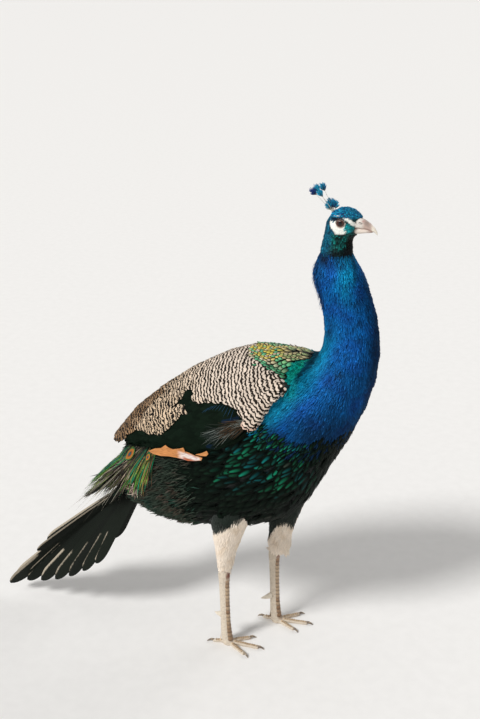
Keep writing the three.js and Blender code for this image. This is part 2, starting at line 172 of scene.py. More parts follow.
FAR = 200  # metres to each edge of the floor
floor_mesh = bpy.data.meshes.new("Floor")
floor_mesh.from_pydata([(-FAR, -FAR, 0), (FAR, -FAR, 0), (FAR, FAR, 0), (-FAR, FAR, 0)], [], [(0, 1, 2, 3)])
floor = mesh_object("Floor", floor_mesh)
floor_finish, tree, shader = new_finish("Pale floor", Roughness=0.9, Specular_IOR_Level=0.2)
finish_with(tree, shader, ramp(tree, noise_over(tree, 40.0), [(0.3, "efedea"), (0.7, "f2f0ed")]))
floor_mesh.materials.append(floor_finish)

# ---- Skin ------------------------------------------------------------------------------------------
# One closed hide over head, neck, body, arms, thighs, bare legs and feet. It shows as white skin on the
# face and as scaly skin on the legs; elsewhere it carries the feathers, which stand about 5 mm off it.

eye_low, eye_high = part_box("right_eye")
STANCE_X = (eye_low.x + eye_high.x) / 2 - 0.149  # the bird's own zero, midway between its feet
CUT_CLOSING = 0.0003  # how far the solids swell, to close the thin cuts between them


def to_mm(places):
    """Places in the frame as millimetres from the bird's own zero."""
    return (np.asarray(places) - (STANCE_X, 0, 0)) * 1000


def to_frame(places):
    return np.asarray(places, float) / 1000 + (STANCE_X, 0, 0)


def read(items, key, width, kind=np.float32):
    """One property of many parts of a mesh, as rows of numbers."""
    values = np.empty(len(items) * width, kind)
    items.foreach_get(key, values)
    return values.reshape(-1, width) if width > 1 else values


def flesh(nodes, voxel, rounds, stretch=None):
    """The named solids as one even, eased surface: vertex places in metres, and triangles."""
    joined = bmesh.new()
    for node in nodes:
        joined.from_mesh(frame["nodes"][node].data)
    bmesh.ops.remove_doubles(joined, verts=joined.verts, dist=1e-5)
    joined.normal_update()
    for vertex in joined.verts:
        vertex.co += vertex.normal * CUT_CLOSING
        if stretch:
            stretch(vertex)
    mesh = bpy.data.meshes.new("Flesh")
    joined.to_mesh(mesh)
    joined.free()
    rough = mesh_object("Flesh", mesh)
    remesh = rough.modifiers.new("Remesh", "REMESH")
    remesh.mode = "VOXEL"
    remesh.voxel_size = voxel
    even = bpy.data.meshes.new_from_object(rough.evaluated_get(bpy.context.evaluated_depsgraph_get()))
    bpy.data.objects.remove(rough)
    places = read(even.vertices, "co", 3).astype(float)
    even.calc_loop_triangles()
    triangles = read(even.loop_triangles, "vertices", 3, np.int32)
    edges = read(even.edges, "vertices", 2, np.int32)
    bpy.data.meshes.remove(even)
    for _ in range(rounds):
        for push in (0.6, -0.62):  # eases the surface, then swells it back
            places += (neighbour_mean(places, edges) - places) * push
    return places, triangles, edges


def neighbour_mean(values, edges):
    """Each vertex's mean over the vertices it shares an edge with."""
    a, b = edges.T
    count = len(values)
    number = np.bincount(edges.ravel(), minlength=count).clip(1)
    columns = [
        (np.bincount(a, values[b, k], count) + np.bincount(b, values[a, k], count)) / number
        for k in range(values.shape[1])
    ]
    return np.stack(columns, 1)


def normals_of(places, triangles):
    corners = places[triangles]
    face = np.cross(corners[:, 1] - corners[:, 0], corners[:, 2] - corners[:, 0])
    total = np.zeros_like(places)
    for k in range(3):
        for axis in range(3):
            total[:, axis] += np.bincount(triangles[:, k], face[:, axis], len(places))
    return total / np.linalg.norm(total, axis=1, keepdims=True).clip(1e-12)


def smooth_step(value, low, high):
    t = np.clip((value - low) / (high - low), 0, 1)
    return t * t * (3 - 2 * t)


BODY_NODES = ["rump", "trunk", "neck_lower", "neck_middle", "neck_upper", "head"]
THIGH_NODES = ["right_thigh", "left_thigh"]
WING_NODES = [f"{side}_wing_{row}" for side in ("right", "left") for row in ("coverts", "secondaries")]
PRIMARY_NODES = ["right_wing_primaries", "left_wing_primaries"]
ALL_FLESH = BODY_NODES + THIGH_NODES + WING_NODES + PRIMARY_NODES + ["tail_coverts"]
TRAIN_END = Vector((-262, 0, 331))  # where the hide ends inside the train; its plumes carry on from there


def draw_in(vertex):
    """Draws the train's solid in towards the body, for the hide."""
    spot = Vector(to_mm(vertex.co))
    if spot.x < TRAIN_END.x and spot.z < 350:
        vertex.co = to_frame(TRAIN_END + (spot - TRAIN_END) * 0.2)


body, body_faces, body_edges = flesh(ALL_FLESH, 0.0044, 30, draw_in)
body_normals = normals_of(body, body_faces)
body_mm = to_mm(body)

# Which solid each place of the body lies nearest to.
solid_corners, solid_faces, solid_names = [], [], []
for node in ALL_FLESH:
    data = frame["nodes"][node].data
    start = len(solid_corners)
    solid_corners += [v.co.copy() for v in data.vertices]
    solid_faces += [[start + i for i in polygon.vertices] for polygon in data.polygons]
    solid_names += [node] * len(data.polygons)
nearest_solid = BVHTree.FromPolygons(solid_corners, solid_faces)
body_label = np.array([solid_names[nearest_solid.find_nearest(p)[2]] for p in body])


def share_of(*endings, rounds=2):
    """1 where the body belongs to a solid with one of these name endings, 0 elsewhere, softened between."""
    share = np.array([name.endswith(endings) for name in body_label], float)[:, None]
    for _ in range(rounds):
        share = (share + neighbour_mean(share, body_edges)) / 2
    return share[:, 0]


on_wing = share_of("wing_coverts", "secondaries", "primaries")
on_thigh = share_of("thigh", rounds=4)
on_train = share_of("tail_coverts", rounds=4)


def inside(points, outline):
    """Distance inside a closed outline in the side view, in millimetres; negative outside it."""
    spots = points[:, (0, 2)]
    gap = np.full(len(spots), np.inf)
    crossed = np.zeros(len(spots), int)
    for (ax, az), (bx, bz) in zip(outline, outline[1:] + outline[:1]):
        start, step = np.array([ax, az]), np.array([bx - ax, bz - az])
        along = np.clip((spots - start) @ step / (step @ step), 0, 1)
        gap = np.minimum(gap, np.linalg.norm(spots - start - along[:, None] * step, axis=1))
        level = (az > spots[:, 1]) != (bz > spots[:, 1])
        rise = bz - az if bz != az else 1
        crossed += level & (spots[:, 0] < (bx - ax) * (spots[:, 1] - az) / rise + ax)
    return np.where(crossed % 2 == 1, gap, -gap)


# Where the barred coverts lie on the folded wing: a front lobe and a rear lobe, with a notch between them.
COVERTS_EDGE = [
    (110, 600), (90, 560), (75, 540), (65, 520), (48, 498), (23, 493), (9, 500), (13, 512), (0, 521),
    (7, 528), (-9, 528), (-30, 533), (-48, 531), (-65, 527), (-89, 523), (-90, 542), (-109, 530),
    (-116, 513), (-107, 503), (-114, 491), (-132, 470), (-145, 459), (-169, 455), (-198, 450), (-217, 443),
    (-222, 428), (-275, 380), (-275, 660), (110, 660),
]
wing_or_back = np.maximum(on_wing, smooth_step(-80 - body_mm[:, 0], 0, 20))
on_coverts = wing_or_back * smooth_step(inside(body_mm, COVERTS_EDGE), -1.5, 1.5)

# The lie of the coat: along the neck and body towards the tail, and down the thighs.
SPINE = np.array([  # X and Z, from the bill to the root of the tail
    (205, 822), (180, 838), (150, 845), (138, 820), (142, 790), (150, 755), (160, 712), (170, 650),
    (168, 600), (150, 540), (110, 480), (40, 430), (-50, 400), (-150, 370), (-260, 330),
], float)


def lie_of(points, normals, thigh=None):
    """The way the feathers lie at points of the body, in millimetres from the bird's zero."""
    way = np.zeros_like(points)
    for (ax, az), (bx, bz) in zip(SPINE[:-1], SPINE[1:]):
        start, step = np.array([ax, 0, az]), np.array([bx - ax, 0, bz - az])
        along = np.clip((points - start) @ step / (step @ step), 0, 1)
        gap = ((points - start - along[:, None] * step) ** 2).sum(1)
        way += step * (1 / (gap + 400) ** 2)[:, None]
    way /= np.linalg.norm(way, axis=1, keepdims=True)
    if thigh is not None:
        way += thigh[:, None] * 3 * np.array([0, 0, -1.0])
    way -= (way * normals).sum(1, keepdims=True) * normals
    return way / np.linalg.norm(way, axis=1, keepdims=True).clip(1e-6)


body_lie = lie_of(body_mm, body_normals, on_thigh)

# On the folded wings the feathers spread from the shoulder, backwards above and downwards in front.
SHOULDER = np.array([95, 600])
wing_lie = np.zeros_like(body_mm)
wing_lie[:, (0, 2)] = body_mm[:, (0, 2)] - SHOULDER
wing_lie -= (wing_lie * body_normals).sum(1, keepdims=True) * body_normals
wing_lie /= np.linalg.norm(wing_lie, axis=1, keepdims=True).clip(1e-6)
body_lie += (wing_lie - body_lie) * on_wing[:, None]

# The hide itself: the body's surface set in by the depth of its feathers, with a finer head and finer legs.
head_share = smooth_step(body_mm[:, 2], 770, 800)
depth = 6 - 2.5 * head_share - 1.5 * smooth_step(body_mm[:, 2], 640, 720) * (1 - head_share)
hide = body - body_normals * (depth / 1000)[:, None]


def reach_down(vertex):
    """Carries the head's cut end down inside the neck."""
    if vertex.co.z < 0.789:
        vertex.co.z -= 0.03


head, head_faces, _ = flesh(["head"], 0.001, 70, reach_down)
head_normals = normals_of(head, head_faces)
head_mm = to_mm(head)
head_depth = 0.7 + 6 * smooth_step(796 - head_mm[:, 2], 0, 16)
hide_head = head - head_normals * (head_depth / 1000)[:, None]


def reach_up(vertex):
    """Carries the shank's top end up inside the thigh."""
    if vertex.co.z > 0.158:
        vertex.co.z += 0.035


LEG_NODES = ["right_shank", "right_foot", "left_shank", "left_foot"]
legs, leg_faces, _ = flesh(LEG_NODES, 0.0012, 22, reach_up)
legs[:, 2] = legs[:, 2].clip(0.0002)


def plain_mesh(name, places, faces):
    mesh = bpy.data.meshes.new(name)
    mesh.from_pydata(places.tolist(), [], faces.tolist())
    mesh.shade_smooth()
    return mesh


skin = mesh_object("skin", plain_mesh("skin", hide, body_faces))
for name, places, faces in (("Hide head", hide_head, head_faces), ("Hide legs", legs, leg_faces)):
    other = mesh_object(name, plain_mesh(name, places, faces))
    union = skin.modifiers.new("Union", "BOOLEAN")
    union.operation = "UNION"
    union.solver = "MANIFOLD"
    union.object = other
    whole = bpy.data.meshes.new_from_object(skin.evaluated_get(bpy.context.evaluated_depsgraph_get()))
    skin.modifiers.clear()
    skin.data = whole
    bpy.data.objects.remove(other)
skin.data.name = "skin"
skin.data.shade_smooth()


def dyed(colour, points):
    """The same colour at every point."""
    return np.tile(paint(colour)[:3], (len(points), 1))


body_hue = dyed("2a2622", body)  # each coat colours the hide under it darker, as painted shade in the gaps between its feathers
head_hue = dyed("2a2622", head)
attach(skin, "root")
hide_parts(*BODY_NODES, *THIGH_NODES, *LEG_NODES, *WING_NODES, "tail_coverts")

# ---- Feathers: what all the coats share ------------------------------------------------------------
# A small feather is a thin curved vane on a short quill. Vanes are planted by their quills over the hide,
# each along the lie, overlapping the next like tiles; loose barbs fray their tips.

unwrap = mesh_object("Unwrap", plain_mesh("Unwrap", hide, body_faces))
bpy.context.view_layer.objects.active = unwrap
unwrap.select_set(True)
bpy.ops.object.mode_set(mode="EDIT")
bpy.ops.mesh.select_all(action="SELECT")
bpy.ops.uv.smart_project(angle_limit=math.radians(60), island_margin=0.002)
bpy.ops.object.mode_set(mode="OBJECT")
hide_map = read(unwrap.data.uv_layers.active.data, "uv", 2)
hide_map = hide_map.reshape(-1, 3, 2)  # three corners a triangle, in the order of body_faces
bpy.data.objects.remove(unwrap)
hide_tree = BVHTree.FromPolygons(hide.tolist(), body_faces.tolist())
body_tree = BVHTree.FromPolygons(body.tolist(), body_faces.tolist())
BAKE_PATCH = 0.003  # across one feather's patch on the hide's unwrap


def places_on_unwrap(roots):
    """Where roots, in metres, fall on the unwrap of the hide."""
    found = np.empty((len(roots), 2))
    for i, root in enumerate(roots):
        spot, _, face, _ = hide_tree.find_nearest(Vector(root))
        spot = np.array(spot)
        a, b, c = hide[body_faces[face]]
        normal = np.cross(b - a, c - a)
        area = normal @ normal
        u = np.cross(c - b, spot - b) @ normal / area
        v = np.cross(a - c, spot - c) @ normal / area
        found[i] = u * hide_map[face, 0] + v * hide_map[face, 1] + (1 - u - v) * hide_map[face, 2]
    return found


def add_map(mesh, name, corners):
    """A UV map from one place for each corner of the mesh."""
    layer = mesh.uv_layers.new(name=name, do_init=False)
    layer.data.foreach_set("uv", np.asarray(corners, np.float32).ravel())


def add_vane_map(mesh, maps):
    """The map across and along the vane, from one place for each vertex."""
    add_map(mesh, "Vane", np.asarray(maps)[read(mesh.loops, "vertex_index", 1, np.int32)])


def add_bake_map(mesh, feather, roots):
    """Gives each feather its own small patch; feather is each vertex's feather number."""
    corner_feather = feather[read(mesh.loops, "vertex_index", 1, np.int32)]
    within_patch = (read(mesh.uv_layers["Vane"].data, "uv", 2) - 0.5) * BAKE_PATCH
    add_map(mesh, "OFBake", places_on_unwrap(roots)[corner_feather] + within_patch)


def add_value(mesh, name, values):
    """A number for each vertex."""
    numbers = np.asarray(values, np.float32).ravel()
    mesh.attributes.new(name, "FLOAT", "POINT").data.foreach_set("value", numbers)


def add_hue(mesh, colours, name="Hue"):
    """A colour for each vertex."""
    hues = np.ones((len(colours), 4), np.float32)
    hues[:, :3] = colours
    mesh.color_attributes.new(name, "FLOAT_COLOR", "POINT").data.foreach_set("color", hues.ravel())


def grid_faces(rows, columns):
    """Quads between rows of places, each row with one place more than there are columns."""
    across = columns + 1
    starts = [r * across + c for r in range(rows - 1) for c in range(columns)]
    return [(a, a + across, a + across + 1, a + 1) for a in starts]


def vane_mesh(name, stations, halves, ragged, seed):
    """A vane one unit long along X from its quill, three vertices across; Z is off the body."""
    luck = np.random.default_rng(seed)
    places, maps = [], []
    for station, half in zip(stations, halves):
        for side in (-1, 0, 1):
            x = station + luck.normal(0, ragged) * station
            places.append((x, side * half, -0.3 * half * abs(side)))  # cupped towards the body
            maps.append((0.5 + side * half, station))
    mesh = bpy.data.meshes.new(name)
    mesh.from_pydata(places, [], grid_faces(len(stations), 2))
    mesh.shade_smooth()
    add_vane_map(mesh, maps)
    return mesh


def vane_set(name, stations, halves, ragged):
    """A collection of four like vanes with different ragged tips."""
    group = bpy.data.collections.new(name)
    scene.collection.children.link(group)
    for seed in range(4):
        mesh = vane_mesh(f"{name} {seed}", stations, halves, ragged, seed)
        group.objects.link(bpy.data.objects.new(mesh.name, mesh))
    return group


def output_of(node):
    return next(socket for socket in node.outputs if socket.enabled)


def maths(tree, operation, *values):
    return put(tree, "ShaderNodeMath", dict(enumerate(values)), operation=operation).outputs[0]


def scaled(tree, vector, scale):
    return put(tree, "ShaderNodeVectorMath", {0: vector, "Scale": scale}, operation="SCALE").outputs[0]


def planting_tree():
    """Geometry Nodes: scatters quills over a surface and plants a vane on each."""
    tree = bpy.data.node_groups.new("Plant feathers", "GeometryNodeTree")
    sockets = [
        ("Surface", "Geometry"), ("Vanes", "Collection"), ("Spacing", "Float"), ("Length", "Float"),
        ("Width", "Float"), ("Lift", "Float"), ("Sink", "Float"), ("Disorder", "Float"), ("Seed", "Int"),
        ("Finish", "Material"),
    ]
    for name, kind in sockets:
        tree.interface.new_socket(name=name, in_out="INPUT", socket_type="NodeSocket" + kind)
    tree.interface.new_socket(name="Coat", in_out="OUTPUT", socket_type="NodeSocketGeometry")
    given = put(tree, "NodeGroupInput").outputs

    def times(a, b):
        return maths(tree, "MULTIPLY", a, b)

    def attribute(name, kind):
        return output_of(put(tree, "GeometryNodeInputNamedAttribute", {"Name": name}, data_type=kind))

    def chance(low, high, seed):
        seed = maths(tree, "ADD", given["Seed"], seed)
        ends = {2: low, 3: high, "Seed": seed}
        return output_of(put(tree, "FunctionNodeRandomValue", ends, data_type="FLOAT"))

    spacing = given["Spacing"]
    quills = put(
        tree, "GeometryNodeDistributePointsOnFaces",
        {"Mesh": given["Surface"], "Distance Min": spacing, "Seed": given["Seed"],
         "Density Max": maths(tree, "DIVIDE", 4.0, times(spacing, spacing)),
         "Density Factor": attribute("cover", "FLOAT")},
        distribute_method="POISSON",
    )
    normal = quills.outputs["Normal"]
    flat = put(
        tree, "FunctionNodeAxesToRotation",
        {"Primary Axis": normal, "Secondary Axis": attribute("lie", "FLOAT_VECTOR")},
        primary_axis="Z", secondary_axis="X",
    )
    unrest = given["Disorder"]
    swing = times(chance(-1.0, 1.0, 1), unrest)
    tilt = times(chance(-1.0, 1.0, 2), times(unrest, 0.5))
    pitch = maths(tree, "SUBTRACT", times(chance(-1.0, 1.0, 3), times(unrest, 0.4)), given["Lift"])
    turn = put(tree, "ShaderNodeCombineXYZ", {0: tilt, 1: pitch, 2: swing}).outputs[0]
    turn = put(tree, "FunctionNodeEulerToRotation", {0: turn}).outputs[0]
    turned = put(
        tree, "FunctionNodeRotateRotation", {0: flat.outputs[0], 1: turn}, rotation_space="LOCAL",
    ).outputs[0]
    points = quills.outputs["Points"]
    marks = (
        ("quill", "FLOAT_VECTOR", put(tree, "GeometryNodeInputPosition").outputs[0]),
        ("number", "INT", put(tree, "GeometryNodeInputIndex").outputs[0]),
        ("tint", "FLOAT", chance(0.0, 1.0, 4)),
    )
    for name, kind, value in marks:
        store = put(
            tree, "GeometryNodeStoreNamedAttribute", {"Geometry": points, "Name": name}, data_type=kind,
        )
        tree.links.new(value, next(s for s in store.inputs if s.name == "Value" and s.enabled))
        points = store.outputs[0]
    down = scaled(tree, normal, times(given["Sink"], -1.0))
    sunk = put(tree, "GeometryNodeSetPosition", {"Geometry": points, "Offset": down}).outputs[0]
    size = attribute("size", "FLOAT")
    length = times(times(given["Length"], size), chance(0.82, 1.15, 5))
    width = times(times(given["Width"], size), chance(0.85, 1.15, 6))
    scale = put(tree, "ShaderNodeCombineXYZ", {0: length, 1: width, 2: length}).outputs[0]
    vanes = put(
        tree, "GeometryNodeCollectionInfo",
        {"Collection": given["Vanes"], "Separate Children": True, "Reset Children": True},
    ).outputs[0]
    planted = put(
        tree, "GeometryNodeInstanceOnPoints",
        {"Points": sunk, "Instance": vanes, "Pick Instance": True, "Rotation": turned, "Scale": scale},
    ).outputs[0]
    plain = put(tree, "GeometryNodeRealizeInstances", {0: planted}).outputs[0]
    done = put(tree, "GeometryNodeSetMaterial", {"Geometry": plain, "Material": given["Finish"]}).outputs[0]
    put(tree, "NodeGroupOutput", {0: done})
    return tree


PLANTING = planting_tree()


def colour_and_shade_hide(hue, colour, cover):
    """Colours the hide under a coat, or bare skin. A darkened copy of a coat's colour is painted shade in
    the gaps between its feathers.
    """
    hue += (np.asarray(paint(colour))[..., :3] - hue) * np.reshape(cover, (-1, 1))


def plant(name, surface, cover, size, colour, gap_shade=0.4, **inputs):
    """A coat of planted vanes as one plain mesh. surface is places, faces, lie and the hide's colours; cover
    and size are one value for each place; colour gives each feather's colour from its quill, in
    millimetres, and the hide's under it, darkened by gap_shade as painted shade in the gaps between
    feathers."""
    places, faces, lie, hue = surface
    # painted shade: the hide under the coat takes the feathers' colour darkened by gap_shade
    colour_and_shade_hide(hue, gap_shade * colour(to_mm(places)), cover)
    ground_mesh = plain_mesh(name, places, faces)
    add_value(ground_mesh, "cover", cover)
    add_value(ground_mesh, "size", np.broadcast_to(size, len(places)))
    ways = ground_mesh.attributes.new("lie", "FLOAT_VECTOR", "POINT")
    ways.data.foreach_set("vector", lie.astype(np.float32).ravel())
    ground = mesh_object(name, ground_mesh)
    planting = ground.modifiers.new("Planting", "NODES")
    planting.node_group = PLANTING
    for item in PLANTING.interface.items_tree:
        if item.name in inputs:
            planting[item.identifier] = inputs[item.name]
    mesh = bpy.data.meshes.new_from_object(ground.evaluated_get(bpy.context.evaluated_depsgraph_get()))
    bpy.data.objects.remove(ground)
    mesh.name = name
    number = read(mesh.attributes["number"].data, "value", 1, np.int32)
    _, first, feather = np.unique(number, return_index=True, return_inverse=True)
    quills = read(mesh.attributes["quill"].data, "vector", 3)[first]
    finish_coat(mesh, feather, quills, colour)
    return mesh_object(name, mesh)


def finish_coat(mesh, feather, quills, colour):
    """Adds each feather's patch of the bake map and its own colour."""
    add_bake_map(mesh, feather, quills)
    add_hue(mesh, colour(to_mm(quills))[feather], "Plume")
    for spare in ("number", "quill", "cover", "size", "lie"):
        if spare in mesh.attributes:
            mesh.attributes.remove(mesh.attributes[spare])


def grain_of(points, size, seed=0.0):
    """Smooth chance between -1 and 1 that changes over about size millimetres."""
    return np.array([noise.noise(Vector(p / size) + Vector((seed, seed, seed))) for p in points])


def blend(colour, other, share):
    """One colour, or one for each point, mixed with another by a share for each point."""
    share = np.asarray(share)[:, None]
    return np.asarray(paint(colour))[..., :3] * (1 - share) + np.asarray(paint(other))[..., :3] * share


def marking(tree, name, output="Color"):
    """A colour or, from its Fac output, a number that the mesh carries."""
    return put(tree, "ShaderNodeAttribute", attribute_name=name).outputs[output]


def vane_place(tree):
    """The place across the vane, 0.5 at the shaft, and along it from the quill."""
    place = put(tree, "ShaderNodeUVMap", uv_map="Vane").outputs[0]
    return put(tree, "ShaderNodeSeparateXYZ", {0: place}).outputs[:2]


def mapped(tree, value, given, wanted=(0, 1), eased=False):
    """A value carried from one range to another."""
    ends = {"From Min": given[0], "From Max": given[1], "To Min": wanted[0], "To Max": wanted[1]}
    kind = "SMOOTHSTEP" if eased else "LINEAR"
    return put(tree, "ShaderNodeMapRange", {"Value": value, **ends}, interpolation_type=kind).outputs[0]


def mixed(tree, factor, colour, other):
    between = {"Factor": factor, 6: paint(colour), 7: paint(other)}
    return put(tree, "ShaderNodeMix", between, data_type="RGBA").outputs[2]


def plume_finish(name, root_shade=0.35, barbs=26.0, rim=None, spread=0.25, **sockets):
    """A feather's finish: its own colour, darker at the hidden quill end by root_shade, partly the feather's
    duller base and partly painted shade under the feathers over it, with fine slanting barbs. rim is where a
    coloured border starts and is full, measured from the shaft across the vane, and its colour; spread is
    how far feathers differ in brightness."""
    finish, tree, shader = new_finish(name, **sockets)
    hue = marking(tree, "Plume")
    tint = marking(tree, "tint", "Fac")
    across, along = vane_place(tree)
    off_shaft = maths(tree, "ABSOLUTE", maths(tree, "SUBTRACT", across, 0.5))
    slant = maths(tree, "MULTIPLY_ADD", off_shaft, -0.9, along)
    stripe = maths(tree, "SINE", maths(tree, "MULTIPLY", slant, barbs * 6.283))
    fade = mapped(tree, along, (0.2, 0.75), (root_shade, 1))
    chance = mapped(tree, tint, (0, 1), (1 - spread, 1 + spread))
    streak = mapped(tree, stripe, (-1, 1), (0.8, 1.1))
    level = maths(tree, "MULTIPLY", maths(tree, "MULTIPLY", fade, chance), streak)
    shaded = scaled(tree, hue, level)
    if rim:
        tip = mapped(tree, along, (0.8, 1), (0, 0.5))
        out = maths(tree, "MAXIMUM", off_shaft, tip)
        shaded = mixed(tree, mapped(tree, out, rim[:2], eased=True), shaded, rim[2])
    finish_with(tree, shader, shaded, stripe, 0.25)
    return finish


def scatter(cover, spacing, seed):
    """Even but irregular places on the body, at least spacing apart, in metres, with the lie there."""
    luck = np.random.default_rng(seed)
    corners = body[body_faces]
    one_edge, other_edge = corners[:, 1] - corners[:, 0], corners[:, 2] - corners[:, 0]
    area = np.linalg.norm(np.cross(one_edge, other_edge), axis=1) / 2
    weight = area * cover[body_faces].mean(1)
    gap = spacing[body_faces].mean(1)
    number = int(4 * (weight / gap**2).sum())
    chosen = luck.choice(len(body_faces), number, p=weight / gap**2 / (weight / gap**2).sum())
    mix = luck.dirichlet((1, 1, 1), number)
    spots = (corners[chosen] * mix[:, :, None]).sum(1)
    kept = np.empty((0, 3))
    keep = []
    for i, (spot, face) in enumerate(zip(spots, chosen)):
        if not len(kept) or ((kept - spot) ** 2).sum(1).min() > gap[face] ** 2:
            keep.append(i)
            kept = np.vstack([kept, spot])
    ways = (body_lie[body_faces[chosen[keep]]] * mix[keep][:, :, None]).sum(1)
    return kept, ways


def lay(starts, ways, lengths, rows, tree=body_tree):
    """Walks each shaft over the body's surface. Gives its stations, the way up and the way along there."""
    spots, ups, alongs = (np.empty((len(starts), rows + 1, 3)) for _ in range(3))
    for i, (start, way, length) in enumerate(zip(starts, ways, lengths)):
        spot, up, _, _ = tree.find_nearest(Vector(start))
        way = Vector(way)
        for row in range(rows + 1):
            way = (way - up * way.dot(up)).normalized()
            spots[i, row], ups[i, row], alongs[i, row] = spot, up, way
            onward = spot + way * (length / rows)
            spot, next_up, _, _ = tree.find_nearest(onward)
            if next_up.dot(up) < 0.93:  # past an edge of the wing the feather goes straight on
                spot, next_up = onward, up
            up = (up + next_up).normalized()
    for _ in range(2):
        ups[:, 1:-1] = (ups[:, :-2] + 2 * ups[:, 1:-1] + ups[:, 2:]) / 4
    ups /= np.linalg.norm(ups, axis=2, keepdims=True)
    return spots, ups, alongs


def within(starts, ways, lengths, rows, share, over):
    """The lengths at which feathers end just past the part of the body that share marks with 1."""
    spots = lay(starts, ways, lengths, rows)[0]
    kept = np.array(lengths, float)
    for i, stations in enumerate(spots):
        for row, spot in enumerate(stations):
            _, _, face, gap = body_tree.find_nearest(Vector(spot))
            if gap > 0.002 or share[body_faces[face]].mean() < 0.5:
                kept[i] = min(kept[i], kept[i] * row / (len(stations) - 1) + over)
                break
    return kept


def on_body(values, places):
    """Values of the body's vertices, read at places near it."""
    return values[body_faces[[body_tree.find_nearest(Vector(place))[2] for place in places]]].mean(1)


def cast_round(tree, places):
    """Where a surface lies, by X, turn from straight up (minus is the right side) and height of the axis."""
    found = []
    for x, turn, height in places:
        out = Vector((0, math.sin(math.radians(turn)), math.cos(math.radians(turn))))
        centre = Vector((x / 1000 + STANCE_X, 0, height / 1000))
        found.append(tree.ray_cast(centre + out * 0.3, -out)[0] or centre + out * 0.06)
    return np.array(found)


def laid_vanes(name, laid, halves, columns, sink, rise, cup, colour, share=None):
    """Vanes on laid shafts. halves is the half width at each station, in metres; a feather lies sink under
    the surface at its quill and comes out by rise at its tip; cup curves it across."""
    spots, ups, alongs = laid
    count, rows = spots.shape[:2]
    share = np.linspace(0, 1, rows) if share is None else share
    across = np.linspace(-1, 1, columns + 1)
    sides = np.cross(ups, alongs)
    height = np.reshape(rise, (-1, 1)) * share - np.reshape(sink, (-1, 1))
    centre = spots + ups * height[..., None]
    offset = across[None, None, :, None] * np.atleast_2d(halves)[:, :, None, None]
    points = centre[:, :, None] + sides[:, :, None] * offset - ups[:, :, None] * cup * np.abs(offset)
    per = rows * (columns + 1)
    faces = np.arange(count)[:, None, None] * per + np.array(grid_faces(rows, columns))
    faces = faces.reshape(-1, 4)[:, ::-1]
    mesh = bpy.data.meshes.new(name)
    mesh.from_pydata(points.reshape(-1, 3).tolist(), [], faces.tolist())
    mesh.shade_smooth()
    vane = np.stack(np.meshgrid(0.5 + across / 2, share), -1)
    add_vane_map(mesh, np.tile(vane.reshape(-1, 2), (count, 1)))
    feather = np.repeat(np.arange(count), per)
    add_value(mesh, "tint", np.random.default_rng(count).random(count)[feather])
    finish_coat(mesh, feather, spots[:, 0], colour)
    return mesh_object(name, mesh), points


def coat_piece(coat, finish=None):
    if finish:
        coat.data.materials.append(finish)
    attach(coat, "root")


BODY_SURFACE = (body, body_faces, body_lie, body_hue)
small_vanes = vane_set("Small vane", (0, 0.4, 0.8, 1), (0.15, 0.48, 0.42, 0.12), ragged=0.04)

# ---- Neck and upper breast -------------------------------------------------------------------------
# Small dense feathers with hairy, unlinked barbs, cobalt blue with turquoise towards the shoulders and under
# the throat, partly their own colour and partly painted sheen; planted so close that only their tips show.

COBALT = "0a64ac"
AZURE = "0a8cbc"
TURQUOISE = "0a90b0"
VIOLET = "1a46ae"
INK = "0a161c"


